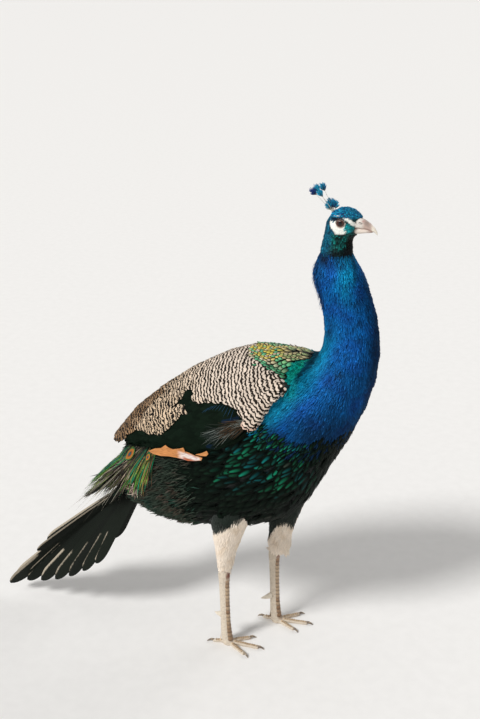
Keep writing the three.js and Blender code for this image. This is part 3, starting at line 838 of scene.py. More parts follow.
def neck_colour(p):
    x, _, z = p.T
    hue = dyed(COBALT, p)
    hue = blend(hue, VIOLET, np.clip(0.1 + 0.6 * grain_of(p, 30), 0, 0.6))
    # azure under the throat, running down the side in a column of streaks, partly the feathers' own colour
    # and partly painted sheen
    throat = np.exp(-(((x - 163) / 15) ** 2)) * smooth_step(z, 680, 760)
    hue = blend(hue, AZURE, np.clip(throat * (1.0 + 0.6 * grain_of(p * (1, 1, 0.3), 5)), 0, 1))
    # the lower neck turns turquoise towards the shoulder, partly its own colour and partly painted sheen
    back_edge = np.interp(z, [500, 517, 560, 591, 640, 700], [50, 68, 108, 125, 140, 150])
    back = smooth_step(back_edge - x, -30, 14) * smooth_step(700 - z, 0, 90)
    hue = blend(hue, TURQUOISE, 0.8 * back)
    # painted shade: a dark mask on the nape and a dark collar under the head, where the head shades the
    # neck, and a dark strip down the front, the side away from the light
    dark = 0.9 * np.exp(-(((x - 122) / 13) ** 2) - ((z - 782) / 15) ** 2)
    dark = np.maximum(dark, 0.45 * smooth_step(130 - x, 0, 14) * smooth_step(z, 690, 720))
    front = np.interp(z, [480, 540, 593, 653, 699, 748, 790], [186, 204, 209, 210, 204, 187, 174])
    dark = np.maximum(dark, 0.8 * smooth_step(x - front, -9, 9))
    # behind the front strip its painted shade breaks up into dark streaks
    streaks = smooth_step(grain_of(p * (1, 1, 0.6), 9, 15.0), -0.1, 0.3)
    dark = np.maximum(dark, 0.45 * smooth_step(x - front, -45, -5) * streaks)
    # darker smudges, and painted shadow along the fold where the neck leaves the back
    smudges = (
        (187, 714, 7, 9), (163, 594, 13, 7), (139, 660, 5, 20), (131, 522, 16, 9), (160, 545, 12, 12),
    )
    for sx, sz, wide, high in smudges:
        smudge = 0.75 * np.exp(-(((x - sx) / wide) ** 2) - ((z - sz) / high) ** 2)
        dark = np.maximum(dark, smudge * (0.7 + grain_of(p, 5, 2.0)))
    over_fold = (z - 584) - (x - 99) * 1.05
    below_nape = smooth_step(625 - z, 0, 10)
    fold_shadow = 0.75 * smooth_step(6 - np.abs(over_fold) * 0.7, 0, 4) * smooth_step(x, 88, 100)
    dark = np.maximum(dark, fold_shadow * smooth_step(122 - x, 0, 8) * below_nape)
    # painted shade: the dark collar right under the head
    dark = np.maximum(dark, 0.75 * smooth_step(z, 776, 790))
    dark = np.maximum(dark, 0.72 * smooth_step(575 - z, 0, 85) * smooth_step(x, 60, 135))
    dark = np.maximum(dark, 0.35 * smooth_step(640 - z, 0, 60) * smooth_step(x, 120, 160))
    behind_fold = smooth_step(over_fold, 2, 10) * smooth_step(118 - x, 0, 8) * below_nape
    hue = blend(hue, "16c89c", 0.9 * behind_fold)
    hue = blend(hue, "0ca4a0", 0.6 * smooth_step(104 - x, 0, 12) * smooth_step(z, 545, 562) * below_nape)
    dark = np.maximum(dark, 0.86 * smooth_step(42 - over_blue(p), 0, 38) * smooth_step(x, 20, 70))
    hue = blend(hue, INK, dark)
    mottle = grain_of(p, 4, 7.0) + 0.6 * grain_of(p, 11, 5.0) + 0.5 * grain_of(p, 1.8, 9.0)
    return hue * (1.0 + 0.5 * mottle).clip(0.25)[:, None]


def side_of(points):
    """Distance from the midline."""
    return np.abs(points[:, 1])


def over_blue(points):
    """Height above the line where the blue of the breast ends."""
    x, z = points[:, 0], points[:, 2]
    return z - (463 + 0.55 * np.clip(100 - x, 0, 90) + 0.15 * np.clip(x - 130, 0, 90))


def before_mantle(points):
    """How far in front of the mantle's front edge, on the back."""
    x, z = points[:, 0], points[:, 2]
    edge = 76 + 1.25 * np.clip(38 - side_of(points), 0, 30)
    return x - edge + 3 * np.clip(566 - z, 0, 100) + 3 * np.clip(z - 612, 0, 100)


neck_cover = smooth_step(before_mantle(body_mm), -4, 4) * smooth_step(over_blue(body_mm), -26, 10)
neck_cover *= smooth_step(795 - body_mm[:, 2], -4, 4) * (on_wing < 0.5) * (on_thigh < 0.5)
neck_size = 0.42 + 0.3 * smooth_step(790 - body_mm[:, 2], 0, 40)
neck_size += 0.36 * smooth_step(720 - body_mm[:, 2], 0, 220)
plume_blue = plume_finish(
    "Blue plumage", root_shade=0.5, spread=0.14, Metallic=0.55, Roughness=0.42, Specular_IOR_Level=0.15,
)
neck = plant(
    "neck_feathers", BODY_SURFACE, neck_cover, neck_size, neck_colour, Vanes=small_vanes, Seed=3,
    Finish=plume_blue, Spacing=0.0021, Length=0.0135, Width=0.0038, Sink=0.0016, Lift=math.radians(7),
    Disorder=math.radians(11),
)
coat_piece(neck)


def strands(name, tree, starts, ways, lengths, half, rise, colour, finish, sink=0.001):
    """Loose barbs and narrow plumes, of one half width or one for each, laid over a surface."""
    halves = np.reshape(half, (-1, 1)) * np.array([0.5, 1, 1, 0.95, 0.8, 0.55, 0.1])
    coat, _ = laid_vanes(name, lay(starts, ways, lengths, 6, tree), halves, 2, sink, rise, 0.3, colour)
    coat_piece(coat, finish)


# Worn barbs that stand off the nape.
NAPE_BARBS = 220
luck = np.random.default_rng(51)
nape = np.flatnonzero((body_normals[:, 0] < -0.7) & (np.abs(body_mm[:, 2] - 733) < 36))
nape = luck.choice(nape, NAPE_BARBS)


def nape_colour(p):
    return blend(blend("1c62a8", "0c2444", luck.random(len(p)) < 0.3), "6c98c0", luck.random(len(p)) < 0.08)


ways = body_lie[nape] + luck.normal(0, 0.15, (NAPE_BARBS, 3))
lengths = luck.uniform(0.008, 0.016, NAPE_BARBS)
rises = luck.uniform(0.002, 0.006, NAPE_BARBS)
strands(
    "nape_barbs", body_tree, body[nape], ways, lengths, 0.0006, rises, nape_colour, plume_blue,
)

# ---- Mantle ----------------------------------------------------------------------------------------
# Stiff round scale feathers between the shoulders, bronze gold and green with a black rim to each, in
# even overlapping rows.

GOLD = "fce058"
BRONZE = "f0d8b8"
LEAF = "7cd89c"


def mantle_colour(p):
    x, z = p[:, 0], p[:, 2]
    side = side_of(p)
    luck = np.random.default_rng(6).random((2, len(p)))
    hue = blend(dyed(LEAF, p), BRONZE, 0.9 * (luck[0] > 0.45) * smooth_step(56 - side, 0, 25))
    gold = smooth_step(38 - side, 0, 16) * smooth_step(90 - x, 0, 38)
    hue = blend(hue, GOLD, gold * (luck[1] > 0.3) * 0.9)
    hue = blend(hue, "c4b878", 0.7 * smooth_step(x, 60, 85) * smooth_step(30 - side, 0, 12))
    hue = blend(hue, "3aa070", 0.8 * smooth_step(side, 36, 48) * (luck[1] > 0.35))
    return hue * (1 + 0.3 * grain_of(p, 5, 3.0))[:, None]


x, z = body_mm[:, 0], body_mm[:, 2]
mantle_edge = np.minimum(5 + 1.7 * (x + 4), 58 + 0.45 * (x - 33))
mantle_cover = smooth_step(-before_mantle(body_mm), -3, 3) * (z > 550)
mantle_cover *= smooth_step(mantle_edge - side_of(body_mm), -3, 3)
luck = np.random.default_rng(5)
starts = cast_round(body_tree, [
    (x + luck.normal(0, 0.7), 8.6 * (column + row % 2 / 2) + luck.normal(0, 0.8), 560)
    for row, x in enumerate(np.arange(106, -22, -6.4))
    for column in range(-11, 11)
])
starts = starts[on_body(mantle_cover, starts) > 0.5]
ways = on_body(body_lie, starts)
lengths = within(starts, ways, np.full(len(starts), 0.0185), 12, np.ones(len(body)), 0.001)
halves = 0.006 * np.array([0.35, 0.7, 0.92, 1, 0.96, 0.78, 0.3])
rises = 0.0008 + 0.0016 * smooth_step(to_mm(starts)[:, 0], -5, 30)
plume_scale = plume_finish(
    "Scale plumage", rim=(0.24, 0.36, "08140c"), root_shade=0.0, spread=0.2, Metallic=0.4, Roughness=0.4,
    Specular_IOR_Level=0.2,
)
laid = lay(starts, ways, lengths, 6)
mantle, _ = laid_vanes("mantle_feathers", laid, halves, 4, 0.001, rises, 0.15, mantle_colour)
# painted shade: the hide under the mantle is a darker copy of its colour
colour_and_shade_hide(body_hue, 0.3 * mantle_colour(body_mm), mantle_cover)
coat_piece(mantle, plume_scale)

# ---- Breast, belly and flanks ----------------------------------------------------------------------
# Broad rounded feathers, black green, each with an emerald or teal glint painted over the middle of its tip
# only where the side of the body turns up to the light.

SOOT = "121f16"
EMERALD = "1c8c62"
TEAL = "125c5e"


def belly_colour(p):
    x, z = p[:, 0], p[:, 2]
    luck = np.random.default_rng(11).random((2, len(p)))
    # painted glints: the green shows only in the band where the side turns up to the light, over a faint
    # painted green sheen there
    lit = smooth_step(z, 355, 425) * smooth_step(x, -50, 10) * smooth_step(150 - x, 0, 50)
    painted_glint = 1.4 * lit * np.clip(0.6 + 1.3 * grain_of(p, 15, 4.0), 0, 1) * smooth_step(luck[0], 0.15, 0.9)
    green = blend(dyed(TEAL, p), EMERALD, smooth_step(grain_of(p, 30), -0.2, 0.25))
    hue = blend(dyed(SOOT, p), green, painted_glint + 0.2 * lit)
    return blend(hue, "3a4038", (luck[1] > 0.985) * 0.8)


belly_cover = smooth_step(-over_blue(body_mm), -16, 0) * smooth_step(x, -130, -60)
belly_cover *= (on_wing < 0.5) & (on_thigh < 0.4) & (on_train < 0.3) & (mantle_cover < 0.5) & (z < 560)
belly_spacing = (5.5 + 4.5 * smooth_step(-over_blue(body_mm), -5, 70)) / 1000
starts, ways = scatter(belly_cover, belly_spacing, 7)
luck = np.random.default_rng(8)
ways = ways + luck.normal(0, 0.2, ways.shape)
spacing = on_body(belly_spacing, starts)
open_belly = (1 - on_wing) * (1 - smooth_step(on_thigh, 0.5, 0.7))
lengths = within(starts, ways, 3.4 * spacing, 10, open_belly, 0.001)
starts, ways, lengths, spacing = (a[lengths > 0.008] for a in (starts, ways, lengths, spacing))
widths = luck.uniform(0.5, 0.9, len(starts)) * spacing
halves = widths[:, None] * np.array([0.3, 0.7, 0.95, 1, 0.9, 0.6, 0.12])
plume_belly = plume_finish(
    "Belly plumage", root_shade=0.05, rim=(0.03, 0.32, "0a120d"), Metallic=0.12, Roughness=0.5,
    Specular_IOR_Level=0.03,
)
rises = luck.uniform(0.0022, 0.0042, len(starts))
laid = lay(starts, ways, lengths, 6)
belly, _ = laid_vanes("belly_feathers", laid, halves, 4, 0.001, rises, 0.18, belly_colour)
# painted shade: the hide under the belly is a darker copy of its colour
colour_and_shade_hide(body_hue, 0.3 * belly_colour(body_mm), belly_cover)
coat_piece(belly, plume_belly)

# ---- Rump, vent and rear flank ---------------------------------------------------------------------
# Loose downy feathers, brown black, whose barbs never link, so that they end in fine hairs; some are
# tipped reddish or grey.

DOWN = "3a463b"


def rump_colour(p):
    luck = np.random.default_rng(21).random(len(p))
    hue = dyed(DOWN, p)
    hue = blend(hue, "5c4238", smooth_step(grain_of(p, 22, 5.0), 0.05, 0.4) * (0.2 + 0.5 * luck))
    hue = blend(hue, "16443a", smooth_step(grain_of(p, 30, 9.0), 0.1, 0.5) * 0.7)
    return blend(hue, "6a625a", smooth_step(luck, 0.93, 1) * 0.8)


rump_cover = (1 - belly_cover) * smooth_step(-40 - x, 0, 50)
rump_cover *= (z < 560) & (over_blue(body_mm) < 0) & (on_wing < 0.5) & (on_thigh < 0.4) & (on_train < 0.5)
plume_down = plume_finish(
    "Downy plumage", root_shade=0.8, Roughness=0.85, Specular_IOR_Level=0.1, Sheen_Weight=0.06,
    Sheen_Roughness=0.5,
)
wisps = vane_set("Wisp", (0, 0.35, 0.75, 1), (0.2, 0.5, 0.34, 0.05), ragged=0.05)
rump = plant(
    "rump_feathers", BODY_SURFACE, rump_cover, 1.0, rump_colour, Vanes=wisps, Seed=9, Finish=plume_down,
    Spacing=0.0025, Length=0.02, Width=0.0018, Sink=0.002, Lift=math.radians(13), Disorder=math.radians(34),
)
coat_piece(rump)

# ---- Thighs ----------------------------------------------------------------------------------------
# Short soft buff feathers, thick and woolly, that hang to the hock and end in a loose fringe.

FOOT_X = 38  # the left foot stands this far forward in millimetres, and the right one as far back


def foot_x_of(points):
    return np.where(points[:, 1] < 0, -FOOT_X, FOOT_X)


def thigh_colour(p):
    hue = dyed("fff0de", p)
    hue = blend(hue, "e4ccae", smooth_step(grain_of(p, 16, 2.0), 0.0, 0.5) * 0.5)
    # the pale wool reaches higher in front than behind, and higher on the outer side: on the inner side the
    # lower dark edge is painted shadow of the belly
    across = p[:, 0] - foot_x_of(p)
    right = p[:, 1] < 0
    outer = np.interp(across, [-19, 6, 27, 46], [259, 276, 294, 298])
    left_inner_shadow = np.interp(across, [-15, -6, 4, 21, 29, 42], [197, 219, 234, 240, 233, 205])
    inner = np.where(right, outer - 48, left_inner_shadow)
    edge = outer + (inner - outer) * smooth_step(np.where(right, 34, 57) - side_of(p), 0, 12)
    return blend(hue, SOOT, smooth_step(p[:, 2] - edge, -2, 4))


thigh_cover = smooth_step(on_thigh, 0.35, 0.6)
plume_wool = plume_finish(
    "Thigh plumage", root_shade=0.96, spread=0.08, Roughness=0.9, Specular_IOR_Level=0.2, Sheen_Weight=0.3,
    Sheen_Roughness=0.5,
)
# a light gap_shade, so the gaps in the wool get little painted shade
thighs = plant(
    "thigh_feathers", BODY_SURFACE, thigh_cover, 1.0, thigh_colour, gap_shade=0.8, Vanes=wisps, Seed=13,
    Finish=plume_wool, Spacing=0.0021, Length=0.012, Width=0.0034, Sink=0.0014, Lift=math.radians(5),
    Disorder=math.radians(12),
)
coat_piece(thighs)

# The wool ends in front in a few loose points.
FRINGE_POINTS = 120
luck = np.random.default_rng(53)
fringe = np.flatnonzero((on_thigh > 0.5) & (np.abs(body_mm[:, 2] - 186) < 14) & (body_normals[:, 0] > 0.5))
fringe = luck.choice(fringe, FRINGE_POINTS)


def fringe_colour(p):
    return dyed("f4e4d0", p)


ways = (0.25, 0, -1.0) + luck.normal(0, 0.12, (FRINGE_POINTS, 3))
lengths = luck.uniform(0.014, 0.026, FRINGE_POINTS)
rises = luck.uniform(0.001, 0.004, FRINGE_POINTS)
strands(
    "thigh_fringe", body_tree, body[fringe], ways, lengths, 0.0013, rises, fringe_colour, plume_wool,
)

# ---- Wing coverts ----------------------------------------------------------------------------------
# The shoulder and all the wing coverts, cream with wavy blackish bars across each feather; they lengthen
# from the shoulder to the long tertials that roof the back.

BAR_START = 7.0  # spacing of the dark bars near the shoulder, and at the wing's end, in millimetres
BAR_END = 6.3


def reach_of(points):
    """Distance from the shoulder, seen from the side."""
    return np.linalg.norm(points[..., (0, 2)] - SHOULDER, axis=-1)


def bar_turns(points):
    """How many bars lie between the shoulder and each point."""
    reach = reach_of(points)
    steps = np.arange(0, 500.0)
    spacing = BAR_START + (BAR_END - BAR_START) * smooth_step(steps, 90, 230)
    return np.interp(reach, steps, np.cumsum(1 / spacing))


def covert_colour(p):
    hue = blend("e8d6c4", "d6bc9e", smooth_step(reach_of(p), 120, 250))
    levels = [440, 446, 459, 467, 481, 498, 540]
    brown_from = np.interp(p[:, 2], levels, [-212, -206, -196, -194, -182, -166, -134])
    hue = blend(hue, "8c6844", 0.85 * smooth_step(brown_from - p[:, 0], -12, 0))
    low = smooth_step(p[:, 0], -10, 20) * smooth_step(520 - p[:, 2], 0, 25)
    return blend(hue, "dc9c82", 0.7 * low)


covert_spacing = (5.5 + 7 * smooth_step(reach_of(body_mm), 80, 300)) / 1000
covert_cover = smooth_step(on_coverts, 0.4, 0.6) * (mantle_cover < 0.5) * (body_mm[:, 0] < 76)
starts, ways = scatter(covert_cover, covert_spacing, 17)
growth = smooth_step(reach_of(to_mm(starts)), 60, 280)
whole_lengths = (16 + 34 * growth) / 1000
lengths = within(starts, ways, whole_lengths, 18, on_coverts, 0.0015)
widths = (5 + 6.5 * growth) / 1000 * np.sqrt(np.minimum(lengths / whole_lengths, 1))
starts, ways, lengths, widths = (a[lengths > 0.006] for a in (starts, ways, lengths, widths))

# A last row of small ones ends in round tips along the edge.
RIM_SPACING = 3.4  # millimetres between their tips
luck = np.random.default_rng(18)
rim_tips, rim_ways = [], []
for start, end in zip(COVERTS_EDGE[6:24], COVERTS_EDGE[7:25]):
    start, step = np.array(start, float), np.array(end, float) - start
    across = np.array([-step[1], step[0]]) / np.linalg.norm(step)
    beside = start + step / 2 + 2 * across
    across *= -np.sign(inside(np.array([[beside[0], 0, beside[1]]]), COVERTS_EDGE)[0])  # out of the wing
    places = np.linalg.norm(step) / RIM_SPACING
    for share in np.arange(0.5, places) / places:
        tip = start + step * share
        way = (tip - SHOULDER) / np.linalg.norm(tip - SHOULDER) + 0.8 * across
        rim_tips.append(tip)
        rim_ways.append(way / np.linalg.norm(way))
rim_tips, rim_ways = np.array(rim_tips), np.array(rim_ways)
rim_lengths = luck.uniform(0.011, 0.014, 2 * len(rim_tips))


def side_places(points, tree=body_tree):
    """Places on both sides of the bird at the given X and Z, in millimetres, right side first."""
    found = []
    for side in (-1, 1):
        for x, z in points:
            across, up = x / 1000 + STANCE_X, z / 1000
            hit = tree.ray_cast(Vector((across, side * 0.3, up)), Vector((0, -side, 0)))[0]
            found.append(hit or Vector((across, side * 0.06, up)))
    return np.array(found)


def both_sides(slopes):
    """Ways given by their X and Z, for the right side and again for the left one."""
    return np.tile(np.stack([slopes[:, 0], 0 * slopes[:, 0], slopes[:, 1]], 1), (2, 1))


starts = np.vstack([starts, side_places(rim_tips - 11 * rim_ways)])
ways = np.vstack([ways, both_sides(rim_ways)])
lengths = np.append(lengths, rim_lengths)
widths = np.append(widths, np.full(len(rim_lengths), 0.0042))
laid = lay(starts, ways, lengths, 6)
halves = widths[:, None] * np.array([0.25, 0.6, 0.85, 1, 0.98, 0.78, 0.3])
coverts, points = laid_vanes("barred_coverts", laid, halves, 4, 0.0006, 0.0028, 0.12, covert_colour)
turns = bar_turns(to_mm(points.reshape(-1, 3)).reshape(points.shape))
own_shift = np.random.default_rng(4).normal(0, 0.09, len(starts))[:, None, None]
turns += own_shift + 0.26 * np.linspace(-1, 1, points.shape[2]) ** 2  # each bar is bowed over its vane
add_value(coverts.data, "bar", turns)
heavy = smooth_step(reach_of(to_mm(starts)), 120, 260)
add_value(coverts.data, "heavy", np.repeat(heavy, turns[0].size))


def barred_finish():
    """Wavy dark bars that grow heavier and more broken towards the end of the wing."""
    finish, tree, shader = new_finish("Barred plumage", Roughness=0.75, Specular_IOR_Level=0.15)
    heavy = marking(tree, "heavy", "Fac")
    wander = maths(tree, "MULTIPLY_ADD", heavy, 1.0, 1.1)
    shift = maths(
        tree, "MULTIPLY_ADD", noise_over(tree, 95.0, detail=1.0), wander, marking(tree, "bar", "Fac"),
    )
    break_up = maths(tree, "MULTIPLY_ADD", heavy, 1.0, 0.27)
    shift = maths(tree, "MULTIPLY_ADD", noise_over(tree, 330.0), break_up, shift)
    wave = maths(tree, "SINE", maths(tree, "MULTIPLY", shift, 6.2832))
    edge = mapped(tree, noise_over(tree, 60.0), (0.35, 0.7), (0.3, -0.3))
    over = maths(tree, "MULTIPLY_ADD", heavy, 0.3, maths(tree, "SUBTRACT", wave, edge))
    dark = mapped(tree, over, (-0.2, 0.16), eased=True)
    bars = mixed(tree, dark, marking(tree, "Plume"), mixed(tree, heavy, "241d15", "14110c"))
    level = mapped(tree, marking(tree, "tint", "Fac"), (0, 1), (0.85, 1.08))
    finish_with(tree, shader, scaled(tree, bars, level))
    return finish


coat_piece(coverts, barred_finish())

# ---- Secondaries -----------------------------------------------------------------------------------
# The long dark flight feathers of the folded wing, showing below the coverts, black with a green shade,
# stiff shafts and close barbs.

on_secondaries = on_wing * (1 - on_coverts)


def dark_wing_colour(p):
    hue = dyed("0e1a11", p)
    luck = np.random.default_rng(33).random(len(p))
    return blend(hue, "142a4a", (luck > 0.97) * (p[:, 0] > -60) * 0.4)


starts, ways = scatter(smooth_step(on_secondaries, 0.4, 0.6), np.full(len(body), 0.0065), 31)
ways = ways * (1, 1, 0.4)
lengths = within(starts, ways, np.full(len(starts), 0.034), 12, on_secondaries, 0.001)
starts, ways, lengths = (a[lengths > 0.006] for a in (starts, ways, lengths))
halves = 0.0065 * np.array([0.3, 0.8, 1, 0.95, 0.7, 0.25])
plume_dark = plume_finish(
    "Dark plumage", root_shade=0.7, barbs=18.0, Roughness=0.6, Specular_IOR_Level=0.03,
)
laid = lay(starts, ways, lengths, 5)
small_dark, _ = laid_vanes("dark_coverts", laid, halves, 2, 0.0024, 0.0018, 0.12, dark_wing_colour)
coat_piece(small_dark, plume_dark)

SECONDARIES = 11
steps = np.linspace(0, 1, SECONDARIES)
roots = np.stack([18 - 108 * steps, 522 - 6 * steps], 1)
tips = np.stack([-38 - 184 * steps, 450 - 30 * np.sin(steps * 2.2) + 16 * steps**2], 1)
starts = side_places(roots)
ways = both_sides(tips - roots)
lengths = np.linalg.norm(ways, axis=1) / 1000
lengths = within(starts, ways, lengths, 12, np.maximum(on_secondaries, on_coverts), 0.003)
halves = 0.0105 * np.array([0.5, 0.7, 0.82, 0.9, 0.95, 1, 1, 1, 0.98, 0.93, 0.8, 0.55, 0.15])
sinks = 0.0026 + 0.0006 * np.tile(steps, 2)
laid = lay(starts, ways, lengths, 12)
secondaries, _ = laid_vanes("secondaries", laid, halves, 4, sinks, 0.001, 0.1, dark_wing_colour)
coat_piece(secondaries, plume_dark)

# ---- Primaries -------------------------------------------------------------------------------------
# The tips of the folded outer flight feathers, plain cinnamon, peeping out under the dark ones. They lie
# one on another: an upper leaf, a lower one whose front is bleached pink and white, and a chip in front.

LEAVES = [  # how far each stands out, and the X and Z of its outline
    (1.2, [
        (-169, 421), (-157, 428), (-144, 432), (-135, 440), (-128, 436), (-120, 435), (-105, 440),
        (-99, 443), (-95, 436), (-96, 432), (-108, 429), (-120, 424), (-135, 422), (-152, 423),
    ]),
    (0.0, [
        (-170, 420), (-152, 426), (-135, 425), (-120, 427), (-108, 432), (-96, 436), (-89, 435),
        (-76, 432), (-68, 432), (-62, 431), (-64, 426), (-77, 422), (-91, 419), (-101, 420),
        (-113, 420), (-128, 419), (-145, 416), (-160, 416),
    ]),
    (0.6, [(-75, 435), (-62, 441), (-53, 447), (-50, 442), (-54, 437), (-64, 435)]),
]


def rust_colour(mm):
    x, z = mm[:, 0], mm[:, 2]
    hue = dyed("d38e54", mm)
    hue = blend(hue, "a8683c", 0.7 * smooth_step(grain_of(mm * (0.3, 1, 1), 3), 0.1, 0.5))
    bleached = smooth_step(x, -113, -100) * smooth_step(-64 - x, 0, 5)
    bleached *= smooth_step(434 - 0.1 * (x + 90) - z, 0, 3)
    hue = blend(hue, "f2e4dc", bleached)
    hue = blend(hue, "d0a8a8", bleached * smooth_step(grain_of(mm * (0.4, 1, 1), 5, 3.0), 0.1, 0.4))
    return blend(hue, "b4603a", smooth_step(422.5 - 0.12 * (x + 77) - z, -1, 1) * smooth_step(x, -104, -96))


leaf_places, leaf_faces, leaf_maps = [], [], []
for side in (-1, 1):
    for lift, outline in LEAVES:
        rim = len(outline)
        low, high = np.min(outline, axis=0), np.max(outline, axis=0)
        columns, levels = np.arange(low[0], high[0], 2.2), np.arange(low[1], high[1], 2.2)
        inner = np.array([(x, 0, z) for x in columns for z in levels])
        spots = [Vector(corner) for corner in outline]
        spots += [Vector((x, z)) for x, _, z in inner[inside(inner, outline) > 1]]
        flat, _, triangles, *_ = delaunay_2d_cdt(spots, [], [list(range(rim))], 1, 1e-6)
        front = len(leaf_places)
        back = front + len(flat)
        for depth in (0, 1.3):  # the outer and the inner face
            for x, z in flat:
                leaf_places.append((x, side * (96 + 0.218 * (x + 157) + lift - depth), z))
                leaf_maps.append(((x - low[0]) / (high[0] - low[0]), (z - low[1]) / (high[1] - low[1])))
        for a, b, c in triangles:
            leaf_faces.append((front + a, front + b, front + c))
            leaf_faces.append((back + c, back + b, back + a))
        for a, b in [(k, (k + 1) % rim) for k in range(rim)]:
            leaf_faces.append((front + a, back + a, back + b, front + b))
leaves_mesh = bpy.data.meshes.new("primaries")
leaves_mesh.from_pydata(to_frame(leaf_places).tolist(), [], leaf_faces)


def face_outwards(mesh, centre=None):
    """Turns the faces outwards or, on an open surface, away from a centre."""
    whole = bmesh.new()
    whole.from_mesh(mesh)
    bmesh.ops.recalc_face_normals(whole, faces=whole.faces)
    if centre is not None:
        first = whole.faces[0]
        if (first.calc_center_median() - centre).dot(first.normal) < 0:
            bmesh.ops.reverse_faces(whole, faces=whole.faces)
    whole.to_mesh(mesh)
    whole.free()


def stretched_noise(tree, stretch):
    """Fine streaks along one way, from noise packed tighter along the others."""
    place = put(
        tree, "ShaderNodeVectorMath", {0: object_place(tree), 1: stretch}, operation="MULTIPLY",
    ).outputs[0]
    return noise_over(tree, 1.0, place, 3.0)


face_outwards(leaves_mesh)
add_vane_map(leaves_mesh, leaf_maps)
add_hue(leaves_mesh, rust_colour(np.array(leaf_places, float)))
add_bake_map(leaves_mesh, np.zeros(len(leaf_places), int), to_frame(leaf_places[:1]))
rust, tree, shader = new_finish("Cinnamon plumage", Roughness=0.6, Specular_IOR_Level=0.2)
barb = stretched_noise(tree, (60.0, 200.0, 900.0))
level = mapped(tree, barb, (0.3, 0.7), (0.66, 1.15))
finish_with(tree, shader, scaled(tree, marking(tree, "Hue"), level), barb)
leaves = mesh_object("primaries", leaves_mesh)
coat_piece(leaves, rust)
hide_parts(*PRIMARY_NODES)

# ---- Flank down ------------------------------------------------------------------------------------
# Loose brown and grey barbs that spill over the front of the closed wing, and a few blue glossed ones.


def flank_colour(p):
    luck = np.random.default_rng(61).random(len(p))
    hue = blend("343c38", "54402f", smooth_step(p[:, 0], -28, 0))
    hue = blend(hue, "727a74", luck > 0.82)
    hue = blend(hue, "1a2420", luck < 0.3)
    return blend(hue, "2a5478", p[:, 2] > 512)


DOWN_BARBS = 260
BLUE_BARBS = 10
luck = np.random.default_rng(60)
roots = np.stack([luck.uniform(-36, 14, DOWN_BARBS), luck.uniform(-9, 9, DOWN_BARBS)], 1)
roots[:, 1] += 497 + 0.45 * roots[:, 0]
blue_x = np.linspace(-56, -10, BLUE_BARBS)
roots = np.vstack([roots, np.stack([blue_x, 527 - 0.012 * (blue_x + 30) ** 2], 1)])
starts = side_places(roots)
count = len(starts)
ways = np.array([-0.86, 0, -0.5]) + luck.normal(0, 0.22, (count, 3))
blue = np.tile(np.arange(len(roots)) >= DOWN_BARBS, 2)
ways[blue] = both_sides(np.stack([np.linspace(-0.75, -0.1, BLUE_BARBS), np.full(BLUE_BARBS, -0.86)], 1))
lengths = np.where(blue, luck.uniform(0.012, 0.024, count), luck.uniform(0.014, 0.038, count))
half = np.where(blue, 0.00024, 0.00038)
rises = np.where(blue, 0.0036, luck.uniform(0.003, 0.008, count))
strands(
    "flank_down", body_tree, starts, ways, lengths, half, rises, flank_colour, plume_down,
)

# ---- Face and crown --------------------------------------------------------------------------------
# Short velvety feathers, blue on the crown, blue green on the cheeks and black on the chin. Each side of
# the face has a bare white stripe from the bill over the eye, and a bare white crescent below the eye.

head_lie = lie_of(head_mm, head_normals)
STRIPE = [(174, 838), (163, 846.5), (154, 848), (152, 847), (157, 843.5), (163, 839.5), (172.5, 832)]
BROW = [(138, 850.3), (143, 851), (149, 850.6), (149, 849), (143, 849.2), (138, 849)]
CRESCENT = [
    (131.5, 844), (130.5, 837), (132.5, 831.5), (136, 826.5), (142.5, 820), (150, 819.5), (156, 820.5),
    (162.5, 822), (158.5, 827), (157, 832), (158.5, 840), (154, 842), (141, 842), (137, 841),
]
EYE = np.array([149.0, 838.0])


def bareness(points):
    """1 on the white patches and round the eye, 0 under feathers."""
    in_patch = np.max([inside(points, patch) for patch in (STRIPE, BROW, CRESCENT)], axis=0)
    in_patch = in_patch + 1.2 * grain_of(points, 2.5, 3.0)
    round_eye = 7.4 - np.linalg.norm(points[:, (0, 2)] - EYE, axis=1)
    return smooth_step(np.maximum(in_patch, round_eye), -0.5, 0.3) * (side_of(points) > 6)


def head_colour(p):
    x, _, z = p.T
    hue = dyed("136c88", p)
    hue = blend(hue, "0d3f5c", smooth_step(grain_of(p, 4, 9.0), 0.0, 0.35) * 0.8)
    crown = smooth_step(z - 0.25 * (150 - x), 841, 848)
    hue = blend(hue, "1ca4d0", crown)
    hue = blend(hue, "123c8c", crown * smooth_step(grain_of(p, 2.4, 1.0), 0.0, 0.25) * 0.85)
    brow = smooth_step(x, 132, 137) * smooth_step(157 - x, 0, 3)
    hue = blend(hue, "0a2c44", brow * smooth_step(849 - z, 0, 1.5) * smooth_step(z, 841, 843))
    hue = blend(hue, "0d6a6c", smooth_step(x, 150, 158) * smooth_step(847 - z, 0, 5))
    # a bright spot before the eye, with a dark ring round it
    from_spot = np.hypot(x - 165, z - 830.5)
    ring = smooth_step(from_spot, 7.5, 9.5) * smooth_step(x, 156, 160) * smooth_step(845 - z, 0, 4)
    hue = blend(hue, "0c3c40", ring * 0.7)
    hue = blend(hue, "14b4bc", smooth_step(8.6 - from_spot, 0, 1.5))
    cheek = smooth_step(824 - z, 0, 6) * smooth_step(x, 130, 142)
    hue = blend(hue, "0c4c48", cheek)
    hue = blend(hue, "128c84", cheek * smooth_step(grain_of(p, 3.2, 8.0), 0.05, 0.25) * 0.9)
    hue = blend(hue, "0e1412", cheek * smooth_step(grain_of(p, 6, 18.0), 0.0, 0.3) * 0.8)
    hue = blend(hue, "11140f", smooth_step(x + 0.45 * (818 - z), 160, 170) * smooth_step(820 - z, 0, 5))
    hue = blend(hue, "0d1519", 0.85 * smooth_step(808 - z, 0, 12) * smooth_step(x, 124, 136))
    return hue * (1 + 0.8 * grain_of(p, 2.0, 4.0)).clip(0.3)[:, None]


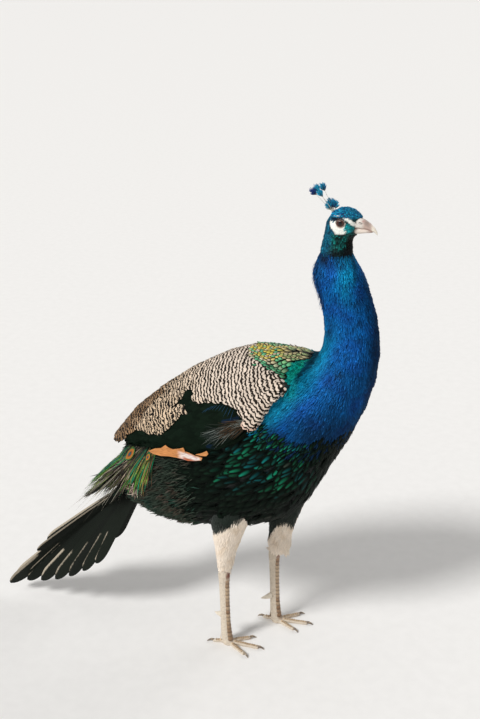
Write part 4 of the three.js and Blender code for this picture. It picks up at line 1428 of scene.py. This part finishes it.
bill_line = np.interp(head_mm[:, 2], [815, 820, 831, 840, 843, 846], [173, 174, 172, 175, 177, 190])
head_cover = (1 - bareness(head_mm)) * smooth_step(bill_line - head_mm[:, 0], -1, 0.5)
head_cover *= smooth_step(head_mm[:, 2], 783, 788)
head_size = 0.8 + 0.9 * smooth_step(822 - head_mm[:, 2], 0, 30) - 0.2 * smooth_step(head_mm[:, 0], 150, 170)
HEAD_SURFACE = (head, head_faces, head_lie, head_hue)
plume_crown = plume_finish(
    "Crown plumage", root_shade=0.15, spread=0.4, Metallic=0.5, Roughness=0.42, Specular_IOR_Level=0.15,
)
crown = plant(
    "head_feathers", HEAD_SURFACE, head_cover, head_size, head_colour, Vanes=small_vanes, Seed=23,
    Finish=plume_crown, Spacing=0.0015, Length=0.005, Width=0.0024, Sink=0.0006, Lift=math.radians(12),
    Disorder=math.radians(16),
)
coat_piece(crown)

from_eye = np.linalg.norm(head_mm[:, (0, 2)] - EYE, axis=1)
face_skin = dyed("f7f8ef", head)
face_skin = blend(face_skin, "a08474", 0.8 * smooth_step(8.4 - from_eye, 0, 2) * (side_of(head_mm) > 6))
face_skin *= (1 + 0.12 * grain_of(head_mm, 1.6))[:, None]
colour_and_shade_hide(head_hue, face_skin, bareness(head_mm))

# ---- Eyes ------------------------------------------------------------------------------------------
# A ball with a dark brown iris and a round black pupil under a wet clear front, set in a bare eyelid that
# is grey brown at its edge and pale outside, with the dark brow above.


def round_axis(axis, angle):
    """The way out from an axis at an angle that starts ahead and goes up."""
    ahead = (Vector((1, 0, 0)) - axis * axis.x).normalized()
    upward = axis.cross(ahead)
    if upward.z < 0:
        upward = -upward
    return ahead * math.cos(angle) + upward * math.sin(angle)


def turned_rings(name, rings, centre, axis, close=False):
    """A surface of rings about an axis. Each ring is its radius and height, or a function of the angle."""
    axis = axis.normalized()
    turn = 40
    places, maps = [], []
    for r, ring in enumerate(rings):
        for k in range(turn):
            angle = 2 * math.pi * k / turn
            radius, height = ring(angle) if callable(ring) else ring
            places.append(centre + axis * height + round_axis(axis, angle) * radius)
            maps.append((k / turn, r / (len(rings) - 1)))
    faces = [
        (r * turn + k, r * turn + (k + 1) % turn, (r + 1) * turn + (k + 1) % turn, (r + 1) * turn + k)
        for r in range(len(rings) - 1)
        for k in range(turn)
    ]
    if close:
        places.append(centre + axis * rings[0][1])
        faces += [(len(places) - 1, (k + 1) % turn, k) for k in range(turn)]
        maps.append((0.5, 0))
    mesh = bpy.data.meshes.new(name)
    mesh.from_pydata(places, [], faces)
    add_vane_map(mesh, maps)
    face_outwards(mesh, None if close else centre)
    mesh.shade_smooth()
    return mesh_object(name, mesh)


EYE_RADIUS = 0.0072
EYE_Y = 0.0148  # metres from the midline to the middle of the ball
LID_EDGE = ((0, 0), (0.0001, 0.0005), (0.0007, 0.0009), (0.0013, 0.0008))  # outwards, and over the ball
LID_SKIRT = ((0.0074, 0.0004), (0.0084, 0.0001), (0.0096, -0.0008))  # radius, and height over the skin
BLACK, WHITE = (0, 0, 0, 1), (1, 1, 1, 1)
eye_finish, tree, shader = new_finish(
    "Eye", Roughness=0.3, Coat_Weight=0.7, Coat_Roughness=0.01, Specular_IOR_Level=0.1,
)
pupil = [(0.0, "010101"), (0.115, "010101")]
iris = [(0.14, "2c150f"), (0.2, "623a2e"), (0.25, "442820"), (0.3, "1a0f0a"), (0.6, "3a2a22")]
finish_with(tree, shader, ramp(tree, vane_place(tree)[1], pupil + iris))
lid_finish, tree, shader = new_finish("Eyelid", Roughness=0.5)
round_eye, outward = vane_place(tree)
lid_hues = [(0.0, "1c1411"), (0.28, "33241f"), (0.45, "7c5c50"), (0.62, "b49c8e"), (0.8, "e4e0d4")]
above = ramp(tree, round_eye, [(0.07, BLACK), (0.12, WHITE), (0.43, WHITE), (0.49, BLACK)])
brow = maths(tree, "MULTIPLY", above, ramp(tree, outward, [(0.45, BLACK), (0.62, WHITE)]))
lid_hue = mixed(tree, brow, ramp(tree, outward, lid_hues), "0b2a3c")
finish_with(tree, shader, lid_hue, noise_over(tree, 1400.0), distance=0.0002)
hide_head_tree = BVHTree.FromPolygons(hide_head.tolist(), head_faces.tolist())


def on_ball(extra, over):
    """A ring of the lid round the almond of its opening, over the ball."""
    def ring(angle):
        radius = 0.0048 + 0.0005 * math.cos(2 * angle) + extra
        return radius, math.sqrt((EYE_RADIUS + over) ** 2 - radius**2)
    return ring


def on_face(radius, over, centre, axis):
    """A round ring of the lid, over the skin of the face."""
    def ring(angle):
        start = centre + round_axis(axis, angle) * radius
        hit = hide_head_tree.ray_cast(start + axis * 0.05, -axis)[0]
        return radius, (hit - centre).dot(axis) + over
    return ring


for side, name in ((-1, "right"), (1, "left")):
    centre = Vector((STANCE_X + EYE[0] / 1000, side * EYE_Y, EYE[1] / 1000))
    axis = Vector((0.1, side, 0.03)).normalized()
    polar = np.linspace(0.04, math.pi * 0.97, 26)
    rings = [(EYE_RADIUS * math.sin(a), EYE_RADIUS * math.cos(a)) for a in polar]
    ball = turned_rings(f"{name}_eyeball", rings, centre, axis, close=True)
    coat_piece(ball, eye_finish)
    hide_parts(f"{name}_eye")
    rings = [on_ball(*sizes) for sizes in LID_EDGE]
    rings += [on_face(*sizes, centre, axis) for sizes in LID_SKIRT]
    coat_piece(turned_rings(f"{name}_eyelid", rings, centre, axis), lid_finish)

# ---- Bill ------------------------------------------------------------------------------------------
# Two smooth horny halves, the upper hooked over the tip of the lower, pinkish grey with a darker ridge, a
# paler tip, and a slit of a nostril under a soft flap on each side.

horn_finish, tree, shader = new_finish("Bill horn", Roughness=0.42, Coat_Weight=0.15, Coat_Roughness=0.25)
fibre = stretched_noise(tree, (260.0, 900.0, 1100.0))
level = mapped(tree, fibre, (0.3, 0.7), (0.86, 1.08))
finish_with(tree, shader, scaled(tree, marking(tree, "Hue"), level), fibre, 0.2, 0.0002)


def horn_piece(name, node, voxel, rounds, colour, shape=None):
    """A smoothed copy of a solid, coloured place by place; shape gives how far the surface is lowered."""
    places, faces, _ = flesh([node], voxel, rounds)
    mm = to_mm(places)
    if shape is not None:
        places = places - normals_of(places, faces) * (shape(mm) / 1000)[:, None]
    mesh = plain_mesh(name, places, faces)
    add_hue(mesh, colour(mm))
    horn = mesh_object(name, mesh)
    coat_piece(horn, horn_finish)
    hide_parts(node)


def nostril(mm):
    """Depth of the nostril slit, and of the groove over its flap."""
    x, z = mm[:, 0] - 181, mm[:, 2] - 838.3
    along, off = x * 0.93 - z * 0.37, x * 0.37 + z * 0.93
    slit = np.exp(-((along / 3.2) ** 4) - (off / 0.55) ** 2)
    flap = np.exp(-((along / 3.8) ** 2) - ((off - 1.5) / 1.0) ** 2)
    lower = np.exp(-((along / 3.6) ** 4) - ((off + 2.1) / 0.5) ** 2)
    return (0.9 * slit + 0.35 * lower - 0.35 * flap) * (side_of(mm) > 2.5)


def upper_bill_colour(mm):
    x, _, z = mm.T
    hue = dyed("d4b8aa", mm)
    hue = blend(hue, "efe6dc", smooth_step(189 - x, 0, 8))
    ridge = smooth_step(z - np.interp(x, [170, 189, 208], [840, 833, 821]), -1, 4)
    hue = blend(hue, "8c7c74", 0.75 * np.exp(-(((x - 191) / 6.5) ** 2)) * (0.4 + 0.6 * ridge))
    hue = blend(hue, "f2e8d8", smooth_step(x, 196, 202))
    cutting_edge = smooth_step(829.5 - z + 0.12 * (185 - x), 0, 2.5)
    hue = blend(hue, "96706a", 0.8 * cutting_edge * smooth_step(200 - x, 0, 10))
    hue = blend(hue, "c07f78", 0.6 * np.exp(-(((x - 185) / 2.0) ** 2) - ((z - 840.5) / 1.2) ** 2))
    # the slit and groove darkened by their depth: painted shade in the recess
    return blend(hue, "3c3230", np.clip(nostril(mm) * 2.2, 0, 0.9))


def lower_bill_colour(mm):
    hue = dyed("eadccf", mm)
    return blend(hue, "a08478", smooth_step(mm[:, 0], 188, 200))


horn_piece("upper_beak", "upper_bill", 0.0005, 7, upper_bill_colour, nostril)
horn_piece("lower_beak", "lower_bill", 0.0005, 7, lower_bill_colour)

# ---- Spurs and claws -------------------------------------------------------------------------------
# Horny cones: a short pale spur on the inner rear side of each leg, and a blunt brown claw on each toe.


def spur_colour(mm):
    return dyed("e4d8c4", mm)


def claw_colour(mm):
    return blend("6e5e50", "a8977f", smooth_step(grain_of(mm, 5), -0.2, 0.4))


def spur_root(mm):
    """The spur is stoutest at its root, on the rear of the shank."""
    along = (foot_x_of(mm) - 9 - mm[:, 0]) / 0.85
    return -2.4 * np.clip(1 - along / 22, 0, 1) ** 0.8


for side in ("right", "left"):
    horn_piece(f"{side}_leg_spur", f"{side}_spur", 0.0006, 5, spur_colour, spur_root)
    for toe in ("middle", "inner", "outer", "hind"):
        horn_piece(f"{side}_{toe}_nail", f"{side}_{toe}_claw", 0.0005, 3, claw_colour)

# ---- Leg plates ------------------------------------------------------------------------------------
# Horny plates down the front of each shank, in two columns set like bricks, and along the top of each toe;
# every plate's lower edge stands a little proud of the next, and darkens towards it in painted shade.

FOOT_Y = 47  # millimetres from the midline to the middle of each foot
leg_tree = BVHTree.FromPolygons(legs.tolist(), leg_faces.tolist())
plate_places, plate_faces, plate_hues = [], [], []
luck = np.random.default_rng(71)


def add_plate(place, brown):
    """place gives a point and the way out for u from -1 to 1 across and v from 0 to 1 down the plate."""
    first = len(plate_places)
    plate_tone = blend("d4bc9c", "8c6644", [brown * luck.uniform(0.3, 1)])[0]
    for v in (0, 0.45, 0.75, 1):
        for u in (-1, -0.5, 0, 0.5, 1):
            start, out = place(u, v * (1 - 0.2 * u * u))
            hit, normal, _, _ = leg_tree.ray_cast(to_frame(start + out * 25), -Vector(out))
            hit, normal = (hit, normal) if hit else (Vector(to_frame(start)), Vector(out))
            plate_places.append(hit + normal * (0.0001 + 0.0011 * v * v) * (1 - 0.6 * abs(u) ** 3))
            # painted shade: each plate darkens towards its lower edge, where it stands over the next
            plate_hues.append(plate_tone * (1.15 - 0.8 * v**3))
    plate_faces.extend([first + corner for corner in face[::-1]] for face in grid_faces(4, 4))


for side in (-1, 1):
    foot_x = side * FOOT_X
    for k, height in enumerate(np.arange(149, 15, -4.2)):
        middle = math.radians(27 if k % 2 else -27)
        centre_x = foot_x + np.interp(height, [10, 24, 50, 96, 136, 163], [0, -2, -3.5, -5, -6, -5])

        def on_shank(u, v):
            angle = middle + u * math.radians(31)
            out = np.array([math.cos(angle), side * math.sin(angle), 0])
            return np.array([centre_x, side * FOOT_Y, height - 9.4 * v]), out

        add_plate(on_shank, 1)
    for heading, reach in ((3, 62), (-30, 46), (36, 50), (172, 29)):
        turn = math.radians(heading) * side
        along = np.array([math.cos(turn), math.sin(turn), 0])
        beside = np.array([-along[1], along[0], 0])
        for step in np.arange(13, reach - 7, 4.6):

            def on_toe(u, v):
                start = np.array([foot_x + 1, side * FOOT_Y, 2.0])
                return start + along * (step + 5.6 * v) + beside * 2.9 * u, np.array([0, 0, 1.0])

            add_plate(on_toe, 0.45)
plates_mesh = bpy.data.meshes.new("leg_plates")
plates_mesh.from_pydata(plate_places, [], plate_faces)
plates_mesh.shade_smooth()
add_hue(plates_mesh, plate_hues)
coat_piece(mesh_object("leg_plates", plates_mesh), horn_finish)

# ---- Crest -----------------------------------------------------------------------------------------
# A little fan of wiry feathers on the rear crown: bare pale shafts with a few stray barbs, each ending in
# a blue green tuft.

CREST_ROOT = np.array([134.0, 0, 853])
CREST_FEATHERS = [  # degrees back and out to the left, and length in millimetres
    (45, -4, 53), (37, 4, 54), (27, -2, 51), (33, -10, 46), (50, -9, 18), (30, -13, 21), (2, -9, 21),
    (-10, -1, 20), (6, 11, 22), (27, 14, 24),
]
luck = np.random.default_rng(41)
wires, wire_faces = [], []
strip_spots, strip_ups, strip_alongs, strip_half = [], [], [], []
for back, out, length in CREST_FEATHERS:
    back, out = math.radians(back), math.radians(out)
    way = np.array([-math.sin(back), math.sin(out) * math.cos(back), math.cos(out) * math.cos(back)])
    flat = np.cross((0, 1, 0), way)
    flat /= np.linalg.norm(flat)
    edge = np.cross(way, flat)
    root = CREST_ROOT + flat * luck.normal(0, 1.2) + edge * luck.normal(0, 1.2)
    bow = luck.normal(0, 0.03)
    reach = length - 11
    for k in range(9):
        share = k / 8
        spot = root + way * reach * share + flat * bow * length * share**2
        for corner in range(5):
            angle = 2 * math.pi * corner / 5
            wires.append(spot + (flat * math.cos(angle) + edge * math.sin(angle)) * (0.42 - 0.17 * share))
            if k:
                here = len(wires) - 1
                beside = here - corner + (corner + 1) % 5
                wire_faces.append((here - 5, beside - 5, beside, here))
    end = root + way * reach + flat * bow * length
    tuft = 15 if length > 30 else 13
    for k in range(tuft * 3):
        lean = (k % tuft - (tuft - 1) / 2) / ((tuft - 1) / 2)
        open_by = lean * math.radians(46) + luck.normal(0, 0.04)
        twist = luck.normal(0, 0.22) + (k // tuft - 1) * 0.5
        reach_out = (11.5 if length > 30 else 11) * (1 - 0.22 * lean**2) * luck.uniform(0.85, 1.05)
        aside = flat * math.cos(twist) + edge * math.sin(twist)
        first = way * math.cos(open_by) + aside * math.sin(open_by)
        shares = np.linspace(0, 1, 4)[:, None]
        spots = end - way * luck.uniform(0, 4) + first * reach_out * shares
        spots += way * (0.12 * reach_out * shares**2)
        facing = np.cross(first, luck.normal(0, 1, 3) * 0.35 + edge)
        facing /= np.linalg.norm(facing)
        strip_spots.append(spots)
        strip_alongs.append(np.tile(first, (4, 1)))
        strip_ups.append(np.tile(np.cross(first, facing), (4, 1)))
        strip_half.append([0.25, 0.5, 0.62, 0.2])
    for k in range(14):  # stray barbs down the shaft
        share = luck.uniform(0.02, 0.9)
        spot = root + way * reach * share + flat * bow * length * share**2
        outward = flat * math.cos(k * 2.4) + edge * math.sin(k * 2.4)
        first = way * 0.75 + outward * 0.65
        first /= np.linalg.norm(first)
        strip_spots.append(spot + first * np.linspace(0, 2.6 if share > 0.25 else 4.0, 4)[:, None])
        strip_alongs.append(np.tile(first, (4, 1)))
        up = np.cross(first, edge)
        strip_ups.append(np.tile(up / np.linalg.norm(up), (4, 1)))
        strip_half.append([0.12, 0.14, 0.1, 0.04])
strip_spots, strip_ups, strip_alongs = (np.array(a) for a in (strip_spots, strip_ups, strip_alongs))
strip_ups /= np.linalg.norm(strip_ups, axis=2, keepdims=True)


def crest_colour(p):
    reach = np.linalg.norm(p - CREST_ROOT, axis=1)
    hue = dyed("14a0c8", p)
    hue = blend(hue, "103a80", smooth_step(grain_of(p, 3.0, 2.0), 0.0, 0.3))
    return blend(hue, "d8dccb", smooth_step(6.5 - reach, 0, 3))


laid = (to_frame(strip_spots), strip_ups, strip_alongs)
crest, _ = laid_vanes("crest_tufts", laid, np.array(strip_half) / 1000, 2, 0.0, 0.0, 0.2, crest_colour)
plume_crest = plume_finish("Crest plumage", root_shade=0.25, Metallic=0.4, Roughness=0.45)
coat_piece(crest, plume_crest)
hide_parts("crest")
shaft_finish, tree, shader = new_finish("Feather shaft", Roughness=0.5)
finish_with(tree, shader, ramp(tree, noise_over(tree, 400.0), [(0.3, "b0aa98"), (0.7, "ddd8c8")]))
shaft_mesh = bpy.data.meshes.new("crest_shafts")
shaft_mesh.from_pydata(to_frame(wires).tolist(), [], wire_faces)
shaft_mesh.shade_smooth()
coat_piece(mesh_object("crest_shafts", shaft_mesh), shaft_finish)

# ---- Tail ------------------------------------------------------------------------------------------
# Long stiff feathers, brown black, fanned in two slopes like a roof; in each slope the middle feather is
# the longest and lies on top. A painted highlight runs as a pale strip along one edge of each one's last
# third.

TAIL_ROOT = np.array([-214.0, 0, 338])
TAIL_LENGTH = 436  # millimetres
TAIL_DROOP = math.radians(43.3)
TAIL_ROOF = math.radians(58)
TAIL_FAN = math.radians(22)
TAIL_PAIRS = 7
TAIL_STATIONS = 30
share = 1 - (1 - np.linspace(0, 1, TAIL_STATIONS)) ** 1.35
vane_spots, vane_ups, vane_alongs, vane_halves = [], [], [], []
for side in (-1, 1):
    along = np.array([-math.cos(TAIL_DROOP), 0, -math.sin(TAIL_DROOP)])
    slope = math.sin(TAIL_ROOF)
    across = np.array([
        math.sin(TAIL_DROOP) * slope, side * math.cos(TAIL_ROOF), -math.cos(TAIL_DROOP) * slope,
    ])
    face = np.cross(along, across) * -side
    for i in range(-1, TAIL_PAIRS):
        place = max(i, 0) / (TAIL_PAIRS - 1)
        length = TAIL_LENGTH * (0.72 if i < 0 else 1 - 0.49 * place)
        fan = math.radians(-4.5) if i < 0 else TAIL_FAN * place**1.15
        half = 10 if i < 0 else 16 - place
        way = along * math.cos(fan) + across * math.sin(fan)
        start = TAIL_ROOT + across * (9 + 4 * place) + face * (1.6 - 1.9 * (TAIL_PAIRS - 1 - i))
        spots = start + way * (length * share)[:, None]
        spots += face * (-5 * share**2 + 2.5 * np.sin(share * math.pi))[:, None]
        left = length * (1 - share)
        tip = 3.2 * half
        width = half * np.interp(share, [0, 0.5, 1], [0.4, 0.85, 1])
        width *= (1 - np.clip(1 - left / tip, 0, 1) ** 2.4) ** 0.62
        vane_spots.append(spots)
        vane_ups.append(np.tile(face, (TAIL_STATIONS, 1)))
        vane_alongs.append(np.tile(way, (TAIL_STATIONS, 1)))
        vane_halves.append(width.clip(0.6))


def tail_colour(p):
    return dyed("0d140c", p)


laid = (to_frame(np.array(vane_spots)), np.array(vane_ups), np.array(vane_alongs))
halves = np.array(vane_halves) / 1000
tail, points = laid_vanes("tail_feathers", laid, halves, 8, 0.0, 0.0, 0.1, tail_colour, share)
# painted highlight: a pale strip along one edge of each feather's last third
edge_share = np.zeros(points.shape[:3])
for n in range(len(points)):
    i = n % (TAIL_PAIRS + 1) - 1
    lower = points[n, 15, 0, 2] < points[n, 15, -1, 2]
    column = np.linspace(0, 1, 9) if lower else np.linspace(1, 0, 9)
    start = 0.3 if i < 0 else 0.68 + 0.06 * math.sin(5 * n)
    worn = smooth_step(share, start, start + 0.05)[:, None] * smooth_step(1 - share, 0, 0.03)[:, None]
    edge_share[n] = worn * smooth_step(column, 0.66, 0.86)[None] * (0.75 + 0.25 * math.sin(7 * n + 1))
add_value(tail.data, "worn", edge_share)
tail_finish = plume_finish(
    "Tail plumage", root_shade=0.9, barbs=90.0, Roughness=0.6, Specular_IOR_Level=0.15,
)
tree = tail_finish.node_tree
shader = tree.nodes["Principled BSDF"]
plain = shader.inputs["Base Color"].links[0].from_socket
# the painted highlight along the edge, broken by noise, over the plain colour
worn = maths(tree, "MULTIPLY_ADD", noise_over(tree, 300.0), 0.5, marking(tree, "worn", "Fac"))
finish_with(tree, shader, mixed(tree, mapped(tree, worn, (0.6, 0.95)), plain, "b3a794"))
coat_piece(tail, tail_finish)
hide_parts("tail")

# ---- Stump of the train ----------------------------------------------------------------------------
# What the moult has left of the train: loose-barbed plumes over the root of the tail, emerald and lime,
# some brown and buff, and the orange and blue green eyes of two short plumes on each side.

stump, stump_faces, _ = flesh(["rump", "tail_coverts", "tail"], 0.003, 4)
stump_tree = BVHTree.FromPolygons(stump.tolist(), stump_faces.tolist())
luck = np.random.default_rng(43)
PLUMES = 1500
ahead = luck.uniform(0, 1, PLUMES)  # 0 on the ridge of the back, 1 at the front edge, down on the flank


def at_ahead(*values):
    return np.interp(ahead, [0, 0.3, 0.6, 0.8, 1], values)


turn = at_ahead(0, 41, 59, 65, 72) * np.where(luck.random(PLUMES) < 0.5, -1, 1)
root_x = at_ahead(-250, -237, -198, -180, -160)
way_x = at_ahead(-0.85, -0.78, -0.66, -0.5, -0.2)
ways = np.stack([way_x, 0 * way_x, -np.sqrt(1 - way_x**2)], 1)
starts = cast_round(stump_tree, np.stack([root_x, turn, 365 + 0.35 * (root_x + 216)], 1))
starts = starts + ways * luck.uniform(-0.006, 0.034, PLUMES)[:, None]
lengths = at_ahead(0.09, 0.11, 0.115, 0.078, 0.058) * luck.uniform(0.55, 1.15, PLUMES)
grain = luck.random((3, PLUMES))


def pick(chances, *codes):
    """One of several colours for each feather, by chance."""
    index = (np.asarray(chances) * len(codes)).astype(int)
    return np.array([paint(code)[:3] for code in codes])[index]


def train_colour(p):
    green = pick(grain[0], "0c9458", "0a7a4a", "0c8478", "8cae1c", "14201a", "5f9a28")
    brown = pick(grain[0], "8a7a68", "5c5042", "b0a08a", "3a342c", "6a7a40", "24221e")
    bunch = pick(grain[0], "a88c50", "4f8a30", "128a60", "6a4a34", "8aa43c", "2a3a22")
    green[ahead < 0.14] = pick(grain[0], "1c2018", "2c2c20", "14301c", "3c3a28")[ahead < 0.14]
    hue = np.where((ahead > 0.7)[:, None], bunch, green)
    hue = np.where((np.abs(ahead - 0.62) < 0.14)[:, None], brown, hue)
    return blend(hue, "10130e", (grain[1] > 0.86) * 0.9)


plume_green = plume_finish(
    "Train plumage", root_shade=0.55, spread=0.3, Metallic=0.3, Roughness=0.45, Specular_IOR_Level=0.2,
)
plume_ways = ways + luck.normal(0, 0.07, ways.shape)
half = 0.0005 + 0.0012 * grain[2]
rises = luck.uniform(0.001, 0.007, PLUMES)
strands(
    "train_plumes", stump_tree, starts, plume_ways, lengths, half, rises, train_colour, plume_green,
    -0.003,
)

# Darker plumes fill the bundle below and inside them.
luck = np.random.default_rng(47)
FILLING = 760
root_x = luck.uniform(-305, -196, FILLING)
down = luck.uniform(0, 1, FILLING)
side = np.where(luck.random(FILLING) < 0.5, -1, 1)
highest = np.interp(root_x, [-300, -250], [95, 78])
lowest = np.interp(root_x, [-245, -212], [150, 98])
turn = side * (highest * (1 - down) + lowest * down)
inner_starts = cast_round(stump_tree, np.stack([root_x, turn, 365 + 0.93 * (root_x + 216)], 1))
inner_ways = np.array([-0.74, 0, -0.67]) + luck.normal(0, 0.06, (FILLING, 3))
inner_hues = luck.random(FILLING)


def filling_colour(p):
    return pick(inner_hues, "101611", "1a2a1e", "2c2a22", "0f3a28", "4c4438", "14120f")


inner_lengths = luck.uniform(0.6, 1, FILLING) * np.interp(root_x, [-300, -250], [0.045, 0.095])
inner_rises = luck.uniform(-0.006, 0.002, FILLING)
spots = lay(inner_starts, inner_ways, inner_lengths, 6, stump_tree)[0]
straight = ((spots[:, -1] - spots[:, 0]) * (-0.74, 0, -0.67)).sum(1) > 0.85 * inner_lengths
inner_starts, inner_ways, inner_hues = inner_starts[straight], inner_ways[straight], inner_hues[straight]
inner_lengths, inner_rises = inner_lengths[straight], inner_rises[straight]
strands(
    "train_filling", stump_tree, inner_starts, inner_ways, inner_lengths, 0.0022, inner_rises,
    filling_colour, plume_down, 0.003,
)

# Pinkish down shows where the last plumes part from the rump.
FLUFF = 60  # on each side
fluff_roots = np.stack([luck.normal(-213, 5, FLUFF), luck.normal(325, 5, FLUFF)], 1)
fluff_hues = luck.random(2 * FLUFF)


def fluff_colour(p):
    return pick(fluff_hues, "b09888", "8a7264", "c8b4a6", "5c4c44")


fluff_starts = side_places(fluff_roots, stump_tree)
fluff_ways = luck.normal(0, 0.6, (2 * FLUFF, 3)) + (-0.5, 0, -0.6)
fluff_lengths = luck.uniform(0.008, 0.018, 2 * FLUFF)
rises = luck.uniform(0.003, 0.008, 2 * FLUFF)
strands(
    "vent_fluff", stump_tree, fluff_starts, fluff_ways, fluff_lengths, 0.0007, rises, fluff_colour,
    plume_down, -0.002,
)

# Long bare shafts and single barbs that trail from the stump over the tail.
long_ones = np.flatnonzero((np.abs(ahead - 0.64) < 0.13) & (grain[1] < 0.3))


def trailing_colour(p):
    return pick(grain[2][long_ones], "b9b4a2", "5a564c", "15150f", "8c8676")


count = len(long_ones)
long_starts = starts[long_ones] + ways[long_ones] * 0.03
long_ways = np.array([-0.6, 0, -0.8]) + luck.normal(0, 0.05, (count, 3))
long_lengths = luck.uniform(0.07, 0.15, count)
rises = luck.uniform(0.002, 0.006, count)
strands(
    "trailing_barbs", stump_tree, long_starts, long_ways, long_lengths, 0.0003, rises, trailing_colour,
    plume_down, -0.004,
)

# The eyes of a short plume and of a smaller one, on each side, as oval vanes ringed with colour.
spots = side_places([(-207, 398), (-171, 406)], stump_tree)
ways = np.tile([(-0.68, 0, -0.73), (-0.15, 0, -0.98)], (2, 1))
laid = lay(spots, ways, np.tile([0.031, 0.015], 2), 8, stump_tree)
oval = np.array([0.25, 0.7, 0.92, 1, 1, 0.95, 0.8, 0.55, 0.15])
halves = np.tile([0.0098, 0.0046], 2)[:, None] * oval


def ocellus_colour(p):
    return dyed("c8742c", p)


ocelli, _ = laid_vanes("train_eyes", laid, halves, 6, -0.007, 0.003, 0.15, ocellus_colour)
eye_spot, tree, shader = new_finish("Train eye", Roughness=0.45, Metallic=0.25, Specular_IOR_Level=0.2)
from_middle = {i: maths(tree, "SUBTRACT", place, 0.5) for i, place in enumerate(vane_place(tree))}
shift = put(tree, "ShaderNodeCombineXYZ", from_middle).outputs[0]
away = put(tree, "ShaderNodeVectorMath", {0: shift}, operation="LENGTH").outputs[1]
blue = [(0.0, "106a74"), (0.12, "0c4450")]
copper = [(0.17, "7c4420"), (0.3, "b46c2c"), (0.4, "a8702c")]
green = [(0.46, "5a6a2c"), (0.5, "2a6a3a")]
finish_with(tree, shader, ramp(tree, away, blue + copper + green))
coat_piece(ocelli, eye_spot)
# painted shade: a dark hide in the gaps under the train
colour_and_shade_hide(body_hue, "0c1c12", smooth_step(on_train, 0.2, 0.5))

# ---- Hide, coloured --------------------------------------------------------------------------------
# Under the feathers the hide is a darker copy of their colour, painted shade in the gaps between them; the
# legs are pinkish cream and tan in front, that tan partly the scutes' own colour and partly painted shade.


def leg_colour(p, normals):
    hue = dyed("ded0bc", p)
    # tan on the side facing forward: partly the scutes' own colour, partly painted shade
    front = smooth_step(normals[:, 0], 0.35, 0.75)
    hue = blend(hue, "a8876a", 0.75 * front)
    hue = blend(hue, "7c4430", front * smooth_step(p[:, 2], 146, 152))
    return blend(hue, "c9b8a4", 0.6 * smooth_step(grain_of(p, 4), 0.0, 0.4))


# painted shade: a dark hide in the gaps under the coverts and under the secondaries
colour_and_shade_hide(body_hue, "3a332a", smooth_step(on_coverts, 0.3, 0.6))
colour_and_shade_hide(body_hue, "0c0f0c", smooth_step(on_secondaries, 0.3, 0.6))
leg_hue = leg_colour(to_mm(legs), normals_of(legs, leg_faces))
hide_hues = []
for vertex in skin.data.vertices:
    spot = vertex.co
    choices = [(hide_tree, body_faces, body_hue)]
    if spot.z > 0.775:
        choices = [(hide_head_tree, head_faces, head_hue)] if spot.z > 0.79 else choices
    elif spot.z < 0.2:
        choices.append((leg_tree, leg_faces, leg_hue))
    nearest = None
    for near_tree, faces, colours in choices:
        _, _, face, gap = near_tree.find_nearest(spot)
        if nearest is None or gap < nearest:
            nearest, hue = gap, colours[faces[face]].mean(0)
    hide_hues.append(hue)
add_hue(skin.data, hide_hues)
skin_finish, tree, shader = new_finish("Hide", Roughness=0.6)
cells = {"Vector": object_place(tree), "Scale": 330.0}
scales = put(tree, "ShaderNodeTexVoronoi", cells, feature="DISTANCE_TO_EDGE").outputs["Distance"]
cracks = mapped(tree, scales, (0, 0.12), (0.72, 1))
finish_with(tree, shader, scaled(tree, marking(tree, "Hue"), cracks), cracks, 0.5, 0.0004)
skin.data.materials.clear()
skin.data.materials.append(skin_finish)

# The single vanes that the planted coats were made from go.
for group in (small_vanes, wisps):
    for vane in list(group.objects):
        bpy.data.objects.remove(vane)
    bpy.data.collections.remove(group)
